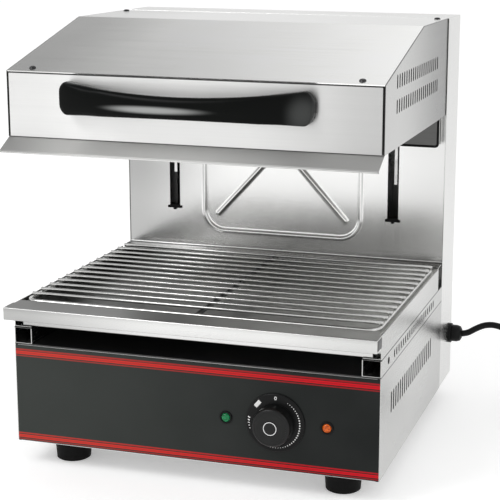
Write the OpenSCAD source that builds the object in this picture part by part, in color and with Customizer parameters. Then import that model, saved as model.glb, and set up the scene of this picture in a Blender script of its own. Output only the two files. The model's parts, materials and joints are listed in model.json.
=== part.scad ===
// Counter-top grill with a lifting head, a sliding drip tray and a lift-off wire grate.
// The origin is the middle of the footprint on the worktop, +Z is up and the front faces -Y.
// Depths below are measured back from the front panel, heights up from the worktop.

/* [Body] */
// Width over the side panels
body_w = 450; // [420:5:600]
// Depth from the front panel to the back of the column
body_d = 425; // [415:5:480]
// Height of the control box
base_h = 120; // [112:1:140]
// Thickness of the steel sheet
sheet_t = 1.2; // [0.8:0.1:1.6]
// Turned-up edge of the floor of the control box
floor_edge_h = 14; // [8:1:18]
// Thickness of the dark plate on the front panel
overlay_t = 0.8; // [0.5:0.1:1.2]

/* [Feet] */
// Height of a foot
foot_h = 30; // [22:1:40]
// Radius of a foot
foot_r = 22.5; // [18:0.5:26]
// Distance of a foot's centre from the side of the body
foot_in_x = 53; // [35:1:70]
// Distance of a foot's centre from the front and the back
foot_in_y = 42; // [30:1:60]

/* [Deck] */
// Width of a rail
rail_w = 22.5; // [19:0.5:26]
// Height of a rail
rail_h = 20.5; // [16:0.5:26]
// Height of the side skirt above a rail
skirt_h = 29; // [28:0.5:34]
// Depth of the side skirt
skirt_d = 319; // [300:1:322]
// Width of the skirt's lower edge, on which the tray slides
skirt_foot_w = 22; // [19:0.5:26]

/* [Column] */
// Depth of the column
column_d = 78; // [76:1:100]
// Height of the column's top above the floor of the control box
column_h = 497.5; // [485:0.5:560]
// Distance of the back cover's end screws from its ends
back_screw_in = 25; // [12:1:40]
// Depth of the ledge at the foot of the column's front
ledge_d = 19; // [10:1:19]
// Width of a lift slot
slot_w = 15; // [13:0.5:18]
// Distance of a lift slot's centre from the middle
slot_x = 155.5; // [150:0.5:160]
// Height of a lift slot's lower end above the ledge
slot_rise = 54; // [40:1:60]
// Width of the pressed bead
bead_w = 8; // [6:0.5:10]
// How far the pressed bead stands proud of the sheet
bead_depth = 2; // [1.5:0.1:2.2]
// Half width of the pressed frame, at the middle of its bead
bead_half_w = 111; // [95:1:125]
// Height of the pressed frame
bead_frame_h = 246; // [180:1:260]
// Corner radius of the pressed frame
bead_r = 29; // [20:1:40]

/* [Head] */
// Distance of the head's side from the side of the body
head_in = 1.5; // [0.5:0.1:3]
// Gap between the head's rear and the column's beads
head_gap = 0.5; // [0.3:0.1:1.5]
// Height of the head's lower edge above the floor of the control box
head_low = 372; // [368:1:380]
// Height of the head's front panel
head_front_h = 76; // [70:1:84]
// Distance of the hood's fold from the head's front
head_fold = 195.5; // [150:1:230]
// How far the head comes down
head_travel = 105; // [60:1:105]
// Forward reach of the lip
lip_reach = 23.5; // [15:0.5:28]
// Drop of the lip
lip_drop = 12.6; // [8:0.2:16]
// Depth of the head's hanging back plate below its side panels
apron_drop = 39; // [20:1:39]
// Distance of the back plate from the column
apron_gap = 19; // [15:0.5:22]
// Distance of the back plate's side from the side of the body
apron_in = 8; // [6:0.5:12]

/* [Handle] */
// Length of the handle
handle_l = 303.5; // [240:0.5:340]
// Forward reach of the handle
handle_reach = 40; // [34:1:45]
// Height of the handle's ends
handle_pad_h = 40; // [32:1:44]
// Thickness of the handle's ends
handle_pad_t = 18.5; // [14:0.5:27]
// Height of the grip in the middle
handle_grip_h = 25.5; // [18:0.5:29]
// Thickness of the grip in the middle
handle_grip_t = 15; // [12:0.5:17]
// Height of the handle's centre above the head's lower edge
handle_rise = 49; // [42:0.5:52]
// Distance of the handle's centre to the left of the head's centre
handle_off = 1.5; // [0:0.5:10]

/* [Tray] */
// Forward reach of the tray's lip
tray_reach = 24.5; // [15:0.5:30]
// Height of the tray's lip
tray_lip_h = 14.7; // [10:0.1:18]
// Height of the tray above its runners
tray_h = 28.2; // [26:0.2:30]
// Height of the pressed runners below the tray
tray_runner_h = 2.5; // [1.5:0.1:3]
// Distance of the tray's side walls from the side of the body
tray_wall_in = 12; // [10:0.5:14]
// Depth of the shelf that carries the grate below the tray's top
tray_shelf_drop = 4.5; // [4:0.1:6]

/* [Grate] */
// Diameter of the frame wire
frame_wire_d = 5.5; // [4:0.1:6]
// Diameter of the cross wires
cross_wire_d = 4; // [3:0.1:6]
// Spacing of the cross wires
cross_pitch = 23; // [15:0.5:30]
// Corner radius of the frame wire
frame_corner_r = 14; // [8:1:25]

/* [Controls] */
// Distance of the knob from the right side
knob_in = 122.5; // [110:0.5:140]
// Height of the knob above the floor of the control box
knob_rise = 58; // [50:1:66]
// Radius of the knob
knob_r = 23.5; // [18:0.5:26]
// Radius of the dial
dial_r = 35; // [30:0.5:38]
// Thickness of the dial
dial_t = 3; // [2:0.2:4]
// Length of the knob in front of the dial
knob_l = 18.5; // [14:0.5:24]
// Radius of the knob's end cap
cap_r = 8.5; // [6:0.5:11]
// Radius of the regulator's shaft
shaft_r = 3; // [2.5:0.1:4]
// Distance of the green lamp to the left of the knob
green_off = 60; // [50:0.5:80]
// Distance of the amber lamp to the right of the knob
amber_off = 61; // [50:0.5:80]
// Radius of a lamp's lens
lens_r = 6; // [5:0.1:8]
// Radius of a lamp's bezel
bezel_r = 7.6; // [7:0.1:10]

/* [Vents] */
// Number of slots in a row of vents
vent_count = 20; // [8:1:22]
// Spacing of the slots
vent_pitch = 11.8; // [9:0.1:12.5]
// Width of a slot
vent_w = 4.8; // [2.5:0.1:5]
// Height of a slot in the control box
base_vent_h = 25.5; // [12:0.5:30]
// Height of a slot in a rail
rail_vent_h = 9; // [4:0.5:11]
// Height of a slot in the head
head_vent_h = 16; // [10:0.5:18]
// Height of a vent slot in the back cover
back_vent_h = 20; // [10:0.5:26]
// Distance of the outer rows of vents from the back cover's ends
back_vent_in = 54; // [40:1:90]

/* [Heating] */
// Radius of a heating tube
tube_r = 4; // [3:0.1:5]
// Spacing between the two legs of a heating tube
hairpin_w = 50; // [36:1:56]
// Spacing between the heating tubes
hairpin_pitch = 92; // [80:1:94]
// Distance of each tube hanger from the middle
clamp_x = 110; // [60:1:150]
// Height of the reflector
reflector_h = 27; // [24:1:32]
// Thickness of the insulation
insulation_t = 18; // [8:1:20]

/* [Lift] */
// Radius of a roller
roller_r = 10; // [8:0.5:12]
// Width of a roller
roller_w = 8; // [6:0.5:9]
// Radius of a roller's axle
axle_r = 4; // [3:0.5:5]
// Thickness of a lift arm
arm_t = 4; // [3:0.5:5]
// Distance of a lift arm from the middle
arm_x = 157; // [154:0.5:159]
// Spacing of the two rollers on an arm
roller_span = 140; // [100:5:150]
// Thickness of a roller guide
guide_t = 2; // [1.5:0.1:3]
// Radius of a counterbalance spring
spring_r = 8; // [5:0.5:10]
// Distance of a counterbalance spring from the middle
spring_x = 120; // [90:1:130]
// Radius of the heat-proof conduit
conduit_r = 8; // [6:0.5:10]

/* [Power lead] */
// Diameter of the lead
lead_d = 8.5; // [7:0.1:9.5]
// Length of the gland's nut
gland_nut_l = 14; // [10:0.5:20]
// Radius of the gland's flange
gland_r = 13.5; // [12:0.5:16]
// Radius of the plug
plug_r = 19; // [16:0.5:19]
// Radius of a plug pin
pin_r = 2.4; // [2:0.1:2.4]
// Length of a plug pin
pin_l = 19; // [15:0.5:19]

/* [Hidden] */
$fn = 48;
fit = 0.1;
wire_gap = 0.3;
weld_sink = 0.1;
screw_head_r = 4;
screw_head_h = 2;
screw_r = 1.9;

half_w = body_w / 2;
inner_x = half_w - sheet_t;
floor_z = foot_h;
fascia_top = floor_z + base_h;
deck_z = fascia_top + sheet_t;
rail_z = deck_z + sheet_t;
skirt_z = rail_z + rail_h;
rail_screw_x = half_w - 7.75;
rail_hole_r = 4.4;
runner_z = skirt_z + sheet_t;
deck_top = skirt_z + skirt_h;
column_y = body_d - column_d;
column_top = floor_z + column_h;
ledge_z = deck_top + 1.4;
back_y = body_d - sheet_t;

head_x = half_w - head_in;
head_y = 1.5;
head_rear = column_y - bead_depth - head_gap;
head_z = floor_z + head_low;
front_top = head_z + head_front_h;
fold_y = head_y + head_fold;
slope = atan((column_top - front_top) / head_fold);
apron_y = column_y - apron_gap;
apron_x = half_w - apron_in;
apron_z = head_z - apron_drop;
apron_top = head_z + 68;
panel_x = head_x - sheet_t - 1;
reflector_x = head_x - 10.5;
reflector_z = head_z + sheet_t + fit;
reflector_top = reflector_z + reflector_h;
tube_z = reflector_top - 14;
grip_z = head_z + handle_rise;
terminal_x = 205;

tray_x = inner_x - 1;
tray_wall_x = half_w - tray_wall_in;
tray_floor = runner_z + wire_gap + tray_runner_h;
tray_top = runner_z + wire_gap + tray_h;
tray_front = 12;
tray_skin_y = 2.5;
tray_skin_x = tray_wall_x + 1.2;
tray_skin_z = runner_z + 0.8;
tray_back = tray_front + 313;
tray_rear_top = min(tray_top, ledge_z - sheet_t) - 1;
tray_shelf = tray_top - tray_shelf_drop;
frame_r = frame_wire_d / 2;
cross_r = cross_wire_d / 2;
frame_z = tray_shelf + wire_gap + frame_r;
cross_z = frame_z + frame_r + cross_r - weld_sink;
frame_x = tray_wall_x + 3;
frame_front = tray_front + sheet_t + 1 + frame_r;
frame_back = tray_back - sheet_t - 1 - frame_r;
cross_first = 19;
cross_count = floor((frame_back - frame_front - cross_first - 6) / cross_pitch);

knob_x = half_w - knob_in;
green_x = knob_x - green_off;
amber_x = knob_x + amber_off;
knob_z = floor_z + knob_rise;
dial_gap = 0.5;
dial_face = dial_gap + dial_t;
shaft_out = dial_face + knob_l - 5;
shaft_in = 16;
bezel_h = 2;

arm_front = column_y + 8;
arm_back = column_y + 45;
arm_low = head_z - 97;
arm_top = head_z + 98;
tongue_top = apron_top - 2;
roller_y = arm_back - 12;
roller_high = arm_top - 30;
roller_low = roller_high - roller_span;
roller_x = arm_x + arm_t / 2 + 0.5;
axle_end = roller_x + roller_w + 1;
guide_x = axle_end + 1.5;
guide_z = roller_low - head_travel - roller_r - 10;
guide_top = roller_high + roller_r + 18;
slot_z = ledge_z + slot_rise;
slot_top = tongue_top + 8;
bumper_h = 2.8;
tongue_z = slot_z + bumper_h + wire_gap + head_travel;
bead_z = ledge_z + 24.5;
bead_in_x = 19;
bead_in_z = 23;
spring_y = column_y + 25;
spring_top = column_top - 17.5;
lug_z = roller_low - 4;
conduit_y = arm_back + 14;
conduit_z = floor_z + 60;

gland_y = column_y + 61.25;
gland_z = floor_z + 61;
gland_flange_t = 4;
gland_end = half_w + gland_flange_t + gland_nut_l;

front_y = head_y - handle_reach;
rear_y = body_d + screw_head_h;
mid_y = (front_y + rear_y) / 2;

// The lead's way from the gland down to the coil, and from the coil to the plug
LEAD_ROUTE = [
    [gland_end, 214, 91], [252, 214, 93.5], [262, 214, 99.5], [273, 214, 105], [285, 214, 107],
    [297, 214, 105], [309, 214, 99], [319, 214, 90], [327, 214, 78], [333, 214, 64],
    [338.5, 214, 49.5], [344.5, 214, 35.5], [352, 214, 23], [362, 214, 13], [374, 214, 7],
    [387, 214, 4.8], [395, 214, 4.6]
];
TAIL_ROUTE = [
    [445, 155, 13], [445, 142, 13], [443, 129, 14], [440, 116, 16], [437, 104, 18], [435, 92, 19.2]
];
COIL_CENTRE = [395, 155.4];
COIL_R = [41.4, 50, 58.6];
PLUG_AT = [435, 92, 19.2];

// Terminal block on the floor of the box, and the ways of the loose wires to and from it
block_x = 95;
block_y = body_d - 40;
block_h = 22;
pole_pitch = 12;
wire_z = floor_z + 16;
wire_y = block_y - 13 - 0.2;
lamp_back = 23.8;
WIRES = [
    [[half_w - 12.3, gland_y - 0.2, gland_z], [190, block_y + 19, 86], [165, block_y + 12, 70],
     [143, block_y + 5, 52], [130, block_y + 3, wire_z], [block_x + 23.2, block_y + 3, wire_z]],
    [[block_x - 23.2, block_y, wire_z], [62, block_y, 47], [50, block_y + 3, 56],
     [24, conduit_y - 9, 76], [1, conduit_y - 0.4, conduit_z - 3.1]],
    [[block_x - 13, wire_y, wire_z], [82, wire_y - 8, wire_z], [81, wire_y - 32, 56], [84, 250, 66],
     [92, 150, 74], [knob_x - 1.5, 70, 90], [knob_x, 50, knob_z + 9.5], [knob_x, 39.4, knob_z + 9.5]],
    [[block_x - 1, wire_y, wire_z], [94, wire_y - 8, wire_z], [90, wire_y - 42, 52], [64, 220, 54],
     [46, 100, 66], [green_x, 44, knob_z], [green_x, lamp_back, knob_z]],
    [[block_x + 11, wire_y, wire_z], [106, wire_y - 8, wire_z], [112, wire_y - 42, 52], [140, 220, 54],
     [158, 100, 66], [amber_x, 44, knob_z], [amber_x, lamp_back, knob_z]]
];
WIRE_R = [4.2, 3, 1.5, 1.5, 1.5];

STEEL = [0.78, 0.78, 0.76];
DARK_STEEL = [0.45, 0.45, 0.44];
CHARCOAL = [0.17, 0.18, 0.18];
BLACK = [0.06, 0.06, 0.06];
CHROME = [0.85, 0.85, 0.86];
BRASS = [0.75, 0.62, 0.32];

// ---- helpers ----

// Sets the pieces with the footprint's middle at the origin
module centred() {
    translate([0, -mid_y, 0]) children();
}

module block(x, y, z) {
    translate([x[0], y[0], z[0]]) cube([x[1] - x[0], y[1] - y[0], z[1] - z[0]]);
}

module both_sides() {
    children();
    mirror([1, 0, 0]) children();
}

// A flat shape drawn as depth and height, with its thickness from x towards +X
module upright_side(x, t) {
    translate([x, 0, 0]) rotate([90, 0, 90]) linear_extrude(t) children();
}

// A flat shape drawn as width and height, with its thickness from y towards +Y
module upright_front(y, t) {
    translate([0, y + t, 0]) rotate([90, 0, 0]) linear_extrude(t) children();
}

// Turns what points up so that it points forwards, or sideways
module facing_front(x, y, z) {
    translate([x, y, z]) rotate([90, 0, 0]) children();
}

module facing_back(x, y, z) {
    translate([x, y, z]) rotate([-90, 0, 0]) children();
}

module facing_right(x, y, z) {
    translate([x, y, z]) rotate([0, 90, 0]) children();
}

module slot_2d(w, h) {
    square([w, h - w], center = true);
    translate([0, (h - w) / 2]) circle(w / 2);
    translate([0, (w - h) / 2]) circle(w / 2);
}

// A row of upright vent slots about a middle
module vent_row_2d(middle, height, h) {
    for (i = [0 : vent_count - 1])
        translate([middle + (i - (vent_count - 1) / 2) * vent_pitch, height]) slot_2d(vent_w, h);
}

module round_rect_2d(w, h, r) {
    square([w - 2 * r, h], center = true);
    square([w, h - 2 * r], center = true);
    for (x = [-1, 1])
        for (y = [-1, 1])
            translate([x * (w / 2 - r), y * (h / 2 - r)]) circle(r);
}

function left_normal(a, b) = let (d = (b - a) / norm(b - a)) [-d[1], d[0]];
function mitre(m, n) = (m + n) / (1 + m * n);
function offset_path(p, t) = [
    for (i = [0 : len(p) - 1])
        let (m = left_normal(p[max(i - 1, 0)], p[max(i, 1)]))
        let (n = left_normal(p[min(i, len(p) - 2)], p[min(i + 1, len(p) - 1)]))
        p[i] + t * mitre(m, n)
];

// The section of a sheet folded along a path, with its thickness on the path's left
module folded_2d(path, t) {
    other = offset_path(path, t);
    polygon(concat(path, [for (i = [len(other) - 1 : -1 : 0]) other[i]]));
}

module folded_sheet(half, path, t) {
    upright_side(-half, 2 * half) folded_2d(path, t);
}

// A domed screw head with its shank, pointing up from the face that it sits on
module screw(shank) {
    translate([0, 0, -shank]) cylinder(r = screw_r, h = shank + 0.2);
    rotate_extrude() polygon([
        [0, 0], [screw_head_r, 0], [screw_head_r, 0.6], [screw_head_r * 0.8, 1.5],
        [screw_head_r * 0.45, screw_head_h], [0, screw_head_h]
    ]);
}

// A round tube swept along a list of points, none of which it leaves in the direction across
function tangent(p, i) = let (d = p[min(i + 1, len(p) - 1)] - p[max(i - 1, 0)]) d / norm(d);
function square_to(t, across) = let (s = cross(t, across)) s / norm(s);

module sweep(path, r, sides, across) {
    rings = [
        for (i = [0 : len(path) - 1])
            let (t = tangent(path, i))
            let (u = square_to(t, across))
            let (v = cross(t, u))
            for (k = [0 : sides - 1])
                path[i] + r * (cos(360 * k / sides) * u + sin(360 * k / sides) * v)
    ];
    last = (len(path) - 1) * sides;
    walls = [
        for (i = [0 : len(path) - 2])
            for (k = [0 : sides - 1])
                let (a = i * sides + k)
                let (b = i * sides + (k + 1) % sides)
                [a, a + sides, b + sides, b]
    ];
    polyhedron(
        points = rings,
        faces = concat(walls, [
            [for (k = [0 : sides - 1]) k],
            [for (k = [sides - 1 : -1 : 0]) last + k]
        ])
    );
}

// ---- control box ----

module at_feet() {
    for (x = [foot_in_x - half_w, half_w - foot_in_x])
        for (y = [foot_in_y, body_d - foot_in_y])
            translate([x, y, 0]) children();
}

// Floor of the box and the column, with its edges turned up and rows of air slots
module base_floor() {
    edge_z = [floor_z, floor_z + floor_edge_h];
    color(STEEL) centred() difference() {
        union() {
            block([-inner_x, inner_x], [sheet_t, back_y], [floor_z, floor_z + sheet_t]);
            both_sides() block([inner_x - sheet_t, inner_x], [sheet_t, back_y], edge_z);
            block([-inner_x, inner_x], [sheet_t, 2 * sheet_t], edge_z);
            block([-inner_x, inner_x], [back_y - sheet_t, back_y], edge_z);
        }
        at_feet() translate([0, 0, floor_z - 1]) cylinder(r = screw_r + 1 + fit, h = sheet_t + 2);
        for (y = [body_d * 0.3, body_d * 0.55])
            for (i = [-4 : 4])
                translate([i * vent_pitch * 1.4, y, floor_z - 1])
                    linear_extrude(sheet_t + 2) slot_2d(vent_w, body_d * 0.14);
    }
}

module side_panel(hand) {
    color(STEEL) centred() mirror([hand, 0, 0]) upright_side(inner_x, sheet_t) difference() {
        translate([0, floor_z]) square([column_y, rail_z - floor_z]);
        vent_row_2d(column_y * 0.476, floor_z + 77.5, base_vent_h);
    }
}

module side_panel_left() {
    side_panel(1);
}

module side_panel_right() {
    side_panel(0);
}

// Holes for the regulator's shaft and the two lamps, seen from the front
module control_holes_2d(shaft_hole, lamp_hole) {
    translate([knob_x, knob_z]) circle(shaft_hole);
    for (x = [green_x, amber_x])
        translate([x, knob_z]) circle(lamp_hole);
}

module front_panel() {
    color(DARK_STEEL) centred() union() {
        upright_front(0, sheet_t) difference() {
            translate([-inner_x, floor_z]) square([2 * inner_x, base_h + sheet_t]);
            control_holes_2d(shaft_r + 2, lens_r - 0.5 + fit);
        }
        block([-inner_x, inner_x], [0, 14], [fascia_top, deck_z]);
    }
}

module control_overlay() {
    color(CHARCOAL) centred() upright_front(-overlay_t, overlay_t) difference() {
        translate([-half_w + 1, floor_z + 0.8]) square([body_w - 2, base_h + sheet_t - 1.2]);
        control_holes_2d(shaft_r + 2, lens_r - 0.5 + fit);
    }
}

module deck_plate() {
    color(DARK_STEEL) centred()
        block([-inner_x, inner_x], [sheet_t, column_y], [deck_z, rail_z]);
}

// Square tube along each side that carries a skirt, with vents in its outer wall
module rail(hand) {
    color(STEEL) centred() mirror([hand, 0, 0]) difference() {
        block([half_w - rail_w, half_w], [0, column_y], [rail_z, skirt_z]);
        block([half_w - rail_w + sheet_t, inner_x], [-1, column_y + 1],
              [rail_z + sheet_t, skirt_z - sheet_t]);
        upright_side(inner_x - 1, sheet_t + 2) {
            vent_row_2d(column_y * 0.51, rail_z + rail_h / 2, rail_vent_h);
            translate([36, rail_z + rail_h / 2]) circle(rail_hole_r);
        }
        translate([rail_screw_x, 8, skirt_z - 3]) cylinder(r = screw_r + fit, h = 6);
    }
}

module rail_left() {
    rail(1);
}

module rail_right() {
    rail(0);
}

// Side wall beside the tray, folded in at the bottom to form the tray's runner
module skirt(hand) {
    color(STEEL) centred() mirror([hand, 0, 0]) difference() {
        union() {
            block([inner_x, half_w], [1, 1 + skirt_d], [skirt_z, deck_top]);
            block([half_w - skirt_foot_w, half_w], [1, 1 + skirt_d], [skirt_z, runner_z]);
        }
        translate([rail_screw_x, 8, skirt_z - 1]) cylinder(r = screw_r + fit, h = 4);
    }
}

module skirt_left() {
    skirt(1);
}

module skirt_right() {
    skirt(0);
}

module rail_screws() {
    color(CHROME) centred() both_sides()
        translate([rail_screw_x, 8, runner_z]) screw(4);
}

module feet() {
    color(BLACK) centred() at_feet() difference() {
        rotate_extrude() polygon([
            [0, 0], [foot_r * 0.84, 0], [foot_r * 0.92, 1.2], [foot_r, foot_h - 6], [foot_r, foot_h],
            [0, foot_h]
        ]);
        translate([0, 0, -1]) cylinder(r = screw_r + 1 + fit, h = foot_h + 2);
        translate([0, 0, -1]) cylinder(r = 7, h = foot_h * 0.4 + 1);
    }
}

// Screws up through the feet, each with its nut on the floor of the box
module foot_screws() {
    seat = foot_h * 0.4;
    color(CHROME) centred() at_feet() {
        translate([0, 0, seat - 3]) cylinder(r = 5.5, h = 3);
        translate([0, 0, seat - 0.1]) cylinder(r = screw_r + 1, h = floor_z + sheet_t + 6 - seat);
        translate([0, 0, floor_z + sheet_t]) cylinder(r = 5.5, h = 4.5, $fn = 6);
    }
}

// ---- controls ----

module lamp(x) {
    centred() facing_front(x, -overlay_t, knob_z) rotate_extrude() polygon([
        [0, -24], [3, -24], [3, -18], [lens_r - 0.5, -18], [lens_r - 0.5, 0], [lens_r, 0],
        [lens_r, bezel_h - 0.2], [lens_r * 0.86, bezel_h + 0.9], [lens_r * 0.5, bezel_h + 1.8],
        [0, bezel_h + 2.1]
    ]);
}

module green_lamp() {
    color([0.05, 0.5, 0.3]) lamp(green_x);
}

module amber_lamp() {
    color([0.9, 0.4, 0.1]) lamp(amber_x);
}

module lamp_bezels() {
    color(BLACK) centred() for (x = [green_x, amber_x])
        facing_front(x, -overlay_t, knob_z) difference() {
            cylinder(r = bezel_r, h = bezel_h);
            translate([0, 0, -1]) cylinder(r = lens_r + fit, h = bezel_h + 2);
        }
}

// Energy regulator behind the panel, with the blind bore that its shaft turns in
module regulator_body() {
    color([0.8, 0.8, 0.75]) centred() difference() {
        union() {
            block([knob_x - 20, knob_x + 20], [sheet_t, sheet_t + 30], [knob_z - 22, knob_z + 22]);
            for (x = [-12, 0, 12])
                block([knob_x + x - 3, knob_x + x + 3], [sheet_t + 29, sheet_t + 38],
                      [knob_z + 9, knob_z + 10]);
        }
        facing_front(knob_x, 0, knob_z)
            translate([0, 0, -shaft_in - 2]) cylinder(r = shaft_r + 0.06, h = shaft_in + 3);
    }
}

module regulator_shaft() {
    color(CHROME) centred() facing_front(knob_x, -overlay_t, knob_z)
        translate([0, 0, overlay_t - shaft_in])
            cylinder(r = shaft_r, h = shaft_in - overlay_t + shaft_out);
}

module dial_skirt() {
    color(BLACK) centred() facing_front(knob_x, -overlay_t, knob_z) difference() {
        rotate_extrude() polygon([
            [0, dial_gap], [dial_r, dial_gap], [dial_r, dial_face - 1.6], [dial_r - 1.6, dial_face - 0.8],
            [knob_r + 1, dial_face], [0, dial_face]
        ]);
        cylinder(r = shaft_r + fit, h = dial_face + 1);
    }
}

// Smooth grip with a rounded face, bored for the shaft and recessed for its end cap
module knob_grip() {
    face = dial_face + knob_l;
    color(BLACK) centred() facing_front(knob_x, -overlay_t, knob_z) difference() {
        rotate_extrude() polygon([
            [0, dial_face], [knob_r, dial_face], [knob_r - 0.6, face - 4], [knob_r - 1.3, face - 2.2],
            [knob_r - 2.6, face - 1.1], [knob_r - 4.6, face - 0.5], [knob_r - 9, face], [0, face]
        ]);
        cylinder(r = shaft_r + 0.05, h = shaft_out + fit);
        translate([0, 0, face - 1]) cylinder(r = cap_r + fit, h = 2);
    }
}

module knob_cap() {
    color(CHROME) centred() facing_front(knob_x, -overlay_t, knob_z)
        translate([0, 0, dial_face + knob_l - 1]) rotate_extrude() polygon([
            [0, 0], [cap_r, 0], [cap_r, 1], [cap_r - 0.8, 1.8], [cap_r - 1.8, 1.2], [0, 1.2]
        ]);
}

module terminal_block() {
    color([0.85, 0.85, 0.8]) centred() difference() {
        block([block_x - 23, block_x + 23], [block_y - 13, block_y + 13],
              [floor_z + sheet_t, floor_z + block_h]);
        for (x = [-1 : 1])
            for (y = [-7, 7])
                translate([block_x + x * pole_pitch, block_y + y, floor_z + block_h - 10])
                    cylinder(r = 3, h = 20);
    }
}

// Loose wires inside the box: the inner lead, the head's supply and the lamp and regulator leads
module wiring() {
    color(BLACK) centred() for (i = [0 : len(WIRES) - 1])
        sweep(WIRES[i], WIRE_R[i], 8, [0, 0, 1]);
}

// ---- column ----

// Both sides and the top of the column in one folded sheet, with edges turned in at the back
module column_shell() {
    edge_y = [back_y - sheet_t, back_y];
    color(STEEL) centred() difference() {
        union() {
            both_sides() {
                block([inner_x, half_w], [column_y, body_d], [floor_z, column_top]);
                block([inner_x - 12, inner_x], edge_y, [floor_z + floor_edge_h, column_top]);
            }
            block([-half_w, half_w], [column_y, body_d], [column_top - sheet_t, column_top]);
        }
        facing_right(inner_x - 1, gland_y, gland_z) cylinder(r = gland_r - 3.4, h = sheet_t + 2);
    }
}

// The pressed frame and its crossed diagonals, seen from the front
module bead_2d(w) {
    r = bead_r + w / 2;
    reach = [bead_half_w * 2 - 2 * bead_in_x, bead_frame_h - 2 * bead_in_z];
    middle = bead_z + bead_frame_h / 2;
    translate([0, middle]) difference() {
        round_rect_2d(2 * bead_half_w + w, bead_frame_h + w, r);
        round_rect_2d(2 * bead_half_w - w, bead_frame_h - w, r - w);
    }
    for (s = [-1, 1])
        translate([0, middle])
            rotate(s * atan(reach[1] / reach[0])) square([norm(reach) + w, w], center = true);
}

module lift_slots_2d() {
    for (x = [-slot_x, slot_x])
        translate([x - slot_w / 2, slot_z]) square([slot_w, slot_top - slot_z]);
}

// Front of the column: hollow beads pressed forwards, two lift slots and a ledge over the tray's back
module column_front() {
    color(STEEL) centred() difference() {
        union() {
            upright_front(column_y, sheet_t) difference() {
                translate([-inner_x, rail_z]) square([2 * inner_x, column_top - sheet_t - rail_z]);
                lift_slots_2d();
            }
            upright_front(column_y - bead_depth, bead_depth + 0.5) bead_2d(bead_w);
            block([-inner_x, inner_x], [column_y - ledge_d, column_y], [ledge_z - sheet_t, ledge_z]);
        }
        upright_front(column_y - bead_depth + sheet_t, bead_depth + 1) bead_2d(bead_w - 2 * sheet_t);
    }
}

// Rubber stops at the lower ends of the lift slots, each with a bar in front and a plug in the slot
module slot_bumpers() {
    color(BLACK) centred() both_sides() translate([slot_x, 0, slot_z]) {
        block([-10.2, 10.2], [column_y - 2, column_y], [-1.6, 1.6]);
        block([0.3 - slot_w / 2, slot_w / 2 - 0.3], [column_y - 1, column_y + 7],
              [0, bumper_h]);
        block([-2, 2], [column_y - 2, column_y], [-4, -1]);
    }
}

module at_back_screws() {
    rise = (column_h - 2 * back_screw_in) / 3;
    for (i = [0 : 3])
        both_sides() translate([inner_x - 6, back_y, floor_z + back_screw_in + i * rise]) children();
}

module back_cover() {
    color(STEEL) centred() difference() {
        upright_front(back_y, sheet_t) difference() {
            translate([-inner_x, floor_z]) square([2 * inner_x, column_h - sheet_t]);
            for (z = [floor_z + back_vent_in, column_top - back_vent_in, column_top - 1.6 * back_vent_in])
                vent_row_2d(0, z, back_vent_h);
        }
        at_back_screws() rotate([-90, 0, 0])
            translate([0, 0, -1]) cylinder(r = screw_r + fit, h = sheet_t + 2);
    }
}

// Screws of the back cover, just behind the edges that the column's shell turns in
module back_screws() {
    color(CHROME) centred() at_back_screws() facing_back(0, sheet_t, 0)
        screw(sheet_t - fit);
}

// ---- lift inside the column ----

// Channels that the rollers run in, each with a leg that stands on the back cover
module lift_guides() {
    near = roller_y - roller_r - wire_gap;
    far = roller_y + roller_r + wire_gap;
    in_x = roller_x + 0.5;
    out_x = guide_x + guide_t;
    span = [guide_z, guide_top];
    color(STEEL) centred() both_sides() {
        block([guide_x, out_x], [near - guide_t, back_y], span);
        block([in_x, out_x], [near - guide_t, near], span);
        block([in_x, out_x], [far, far + guide_t], span);
        block([guide_x, out_x + 18], [back_y - guide_t, back_y], span);
    }
}

// Bar across the column that both springs hang from
module spring_bar() {
    color(STEEL) centred()
        block([-inner_x, inner_x], [spring_y - 6, spring_y + 6], [spring_top, spring_top + 3]);
}

// Ribbed outer shape of a close-wound tension spring, with a straight hook wire at each end
module lift_springs() {
    low = lug_z + 3;
    pitch = 3;
    turns = floor((spring_top - low - 24) / pitch);
    start = low + 12;
    color(CHROME) centred() both_sides() translate([spring_x, spring_y, 0]) {
        rotate_extrude() polygon(concat(
            [[0, start]],
            [for (i = [0 : 2 * turns]) [spring_r - (i % 2 == 0 ? 0.8 : 0), start + i * pitch / 2]],
            [[0, start + turns * pitch]]
        ));
        translate([0, 0, low]) cylinder(r = 1.2, h = start - low + 1);
        translate([0, 0, start + turns * pitch - 1])
            cylinder(r = 1.2, h = spring_top - start - turns * pitch + 1);
    }
}

// Arms through the slots, the plate that joins them, roller axles and the springs' lugs
module lift_carriage() {
    color(STEEL) centred() union() {
        both_sides() {
            block([arm_x - arm_t / 2, arm_x + arm_t / 2], [arm_front, arm_back], [arm_low, arm_top]);
            block([arm_x - arm_t / 2, arm_x + arm_t / 2], [apron_y + sheet_t, arm_front + 1],
                  [tongue_z, tongue_top]);
            block([arm_x - 20, arm_x + arm_t / 2], [apron_y + sheet_t, apron_y + sheet_t + 2],
                  [tongue_z + 10, tongue_top]);
            for (z = [roller_low, roller_high])
                facing_right(arm_x, roller_y, z) cylinder(r = axle_r, h = axle_end - arm_x);
            block([spring_x - 7, spring_x + 7], [spring_y - 6, arm_back], [lug_z, lug_z + 3]);
        }
        block([-arm_x, arm_x], [arm_back - 2, arm_back], [lug_z, arm_top - 20]);
        block([-13, 13], [arm_back - 1, conduit_y + conduit_r + 2], [lug_z, lug_z + 3]);
    }
}

// Nylon roller with its bore
module roller(hand, z) {
    color([0.9, 0.9, 0.86]) centred() mirror([hand, 0, 0])
        facing_right(roller_x, roller_y, z) difference() {
            cylinder(r = roller_r, h = roller_w);
            translate([0, 0, -1]) cylinder(r = axle_r + 0.06, h = roller_w + 2);
        }
}

module roller_upper_left() {
    roller(1, roller_high);
}

module roller_upper_right() {
    roller(0, roller_high);
}

module roller_lower_left() {
    roller(1, roller_low);
}

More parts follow.
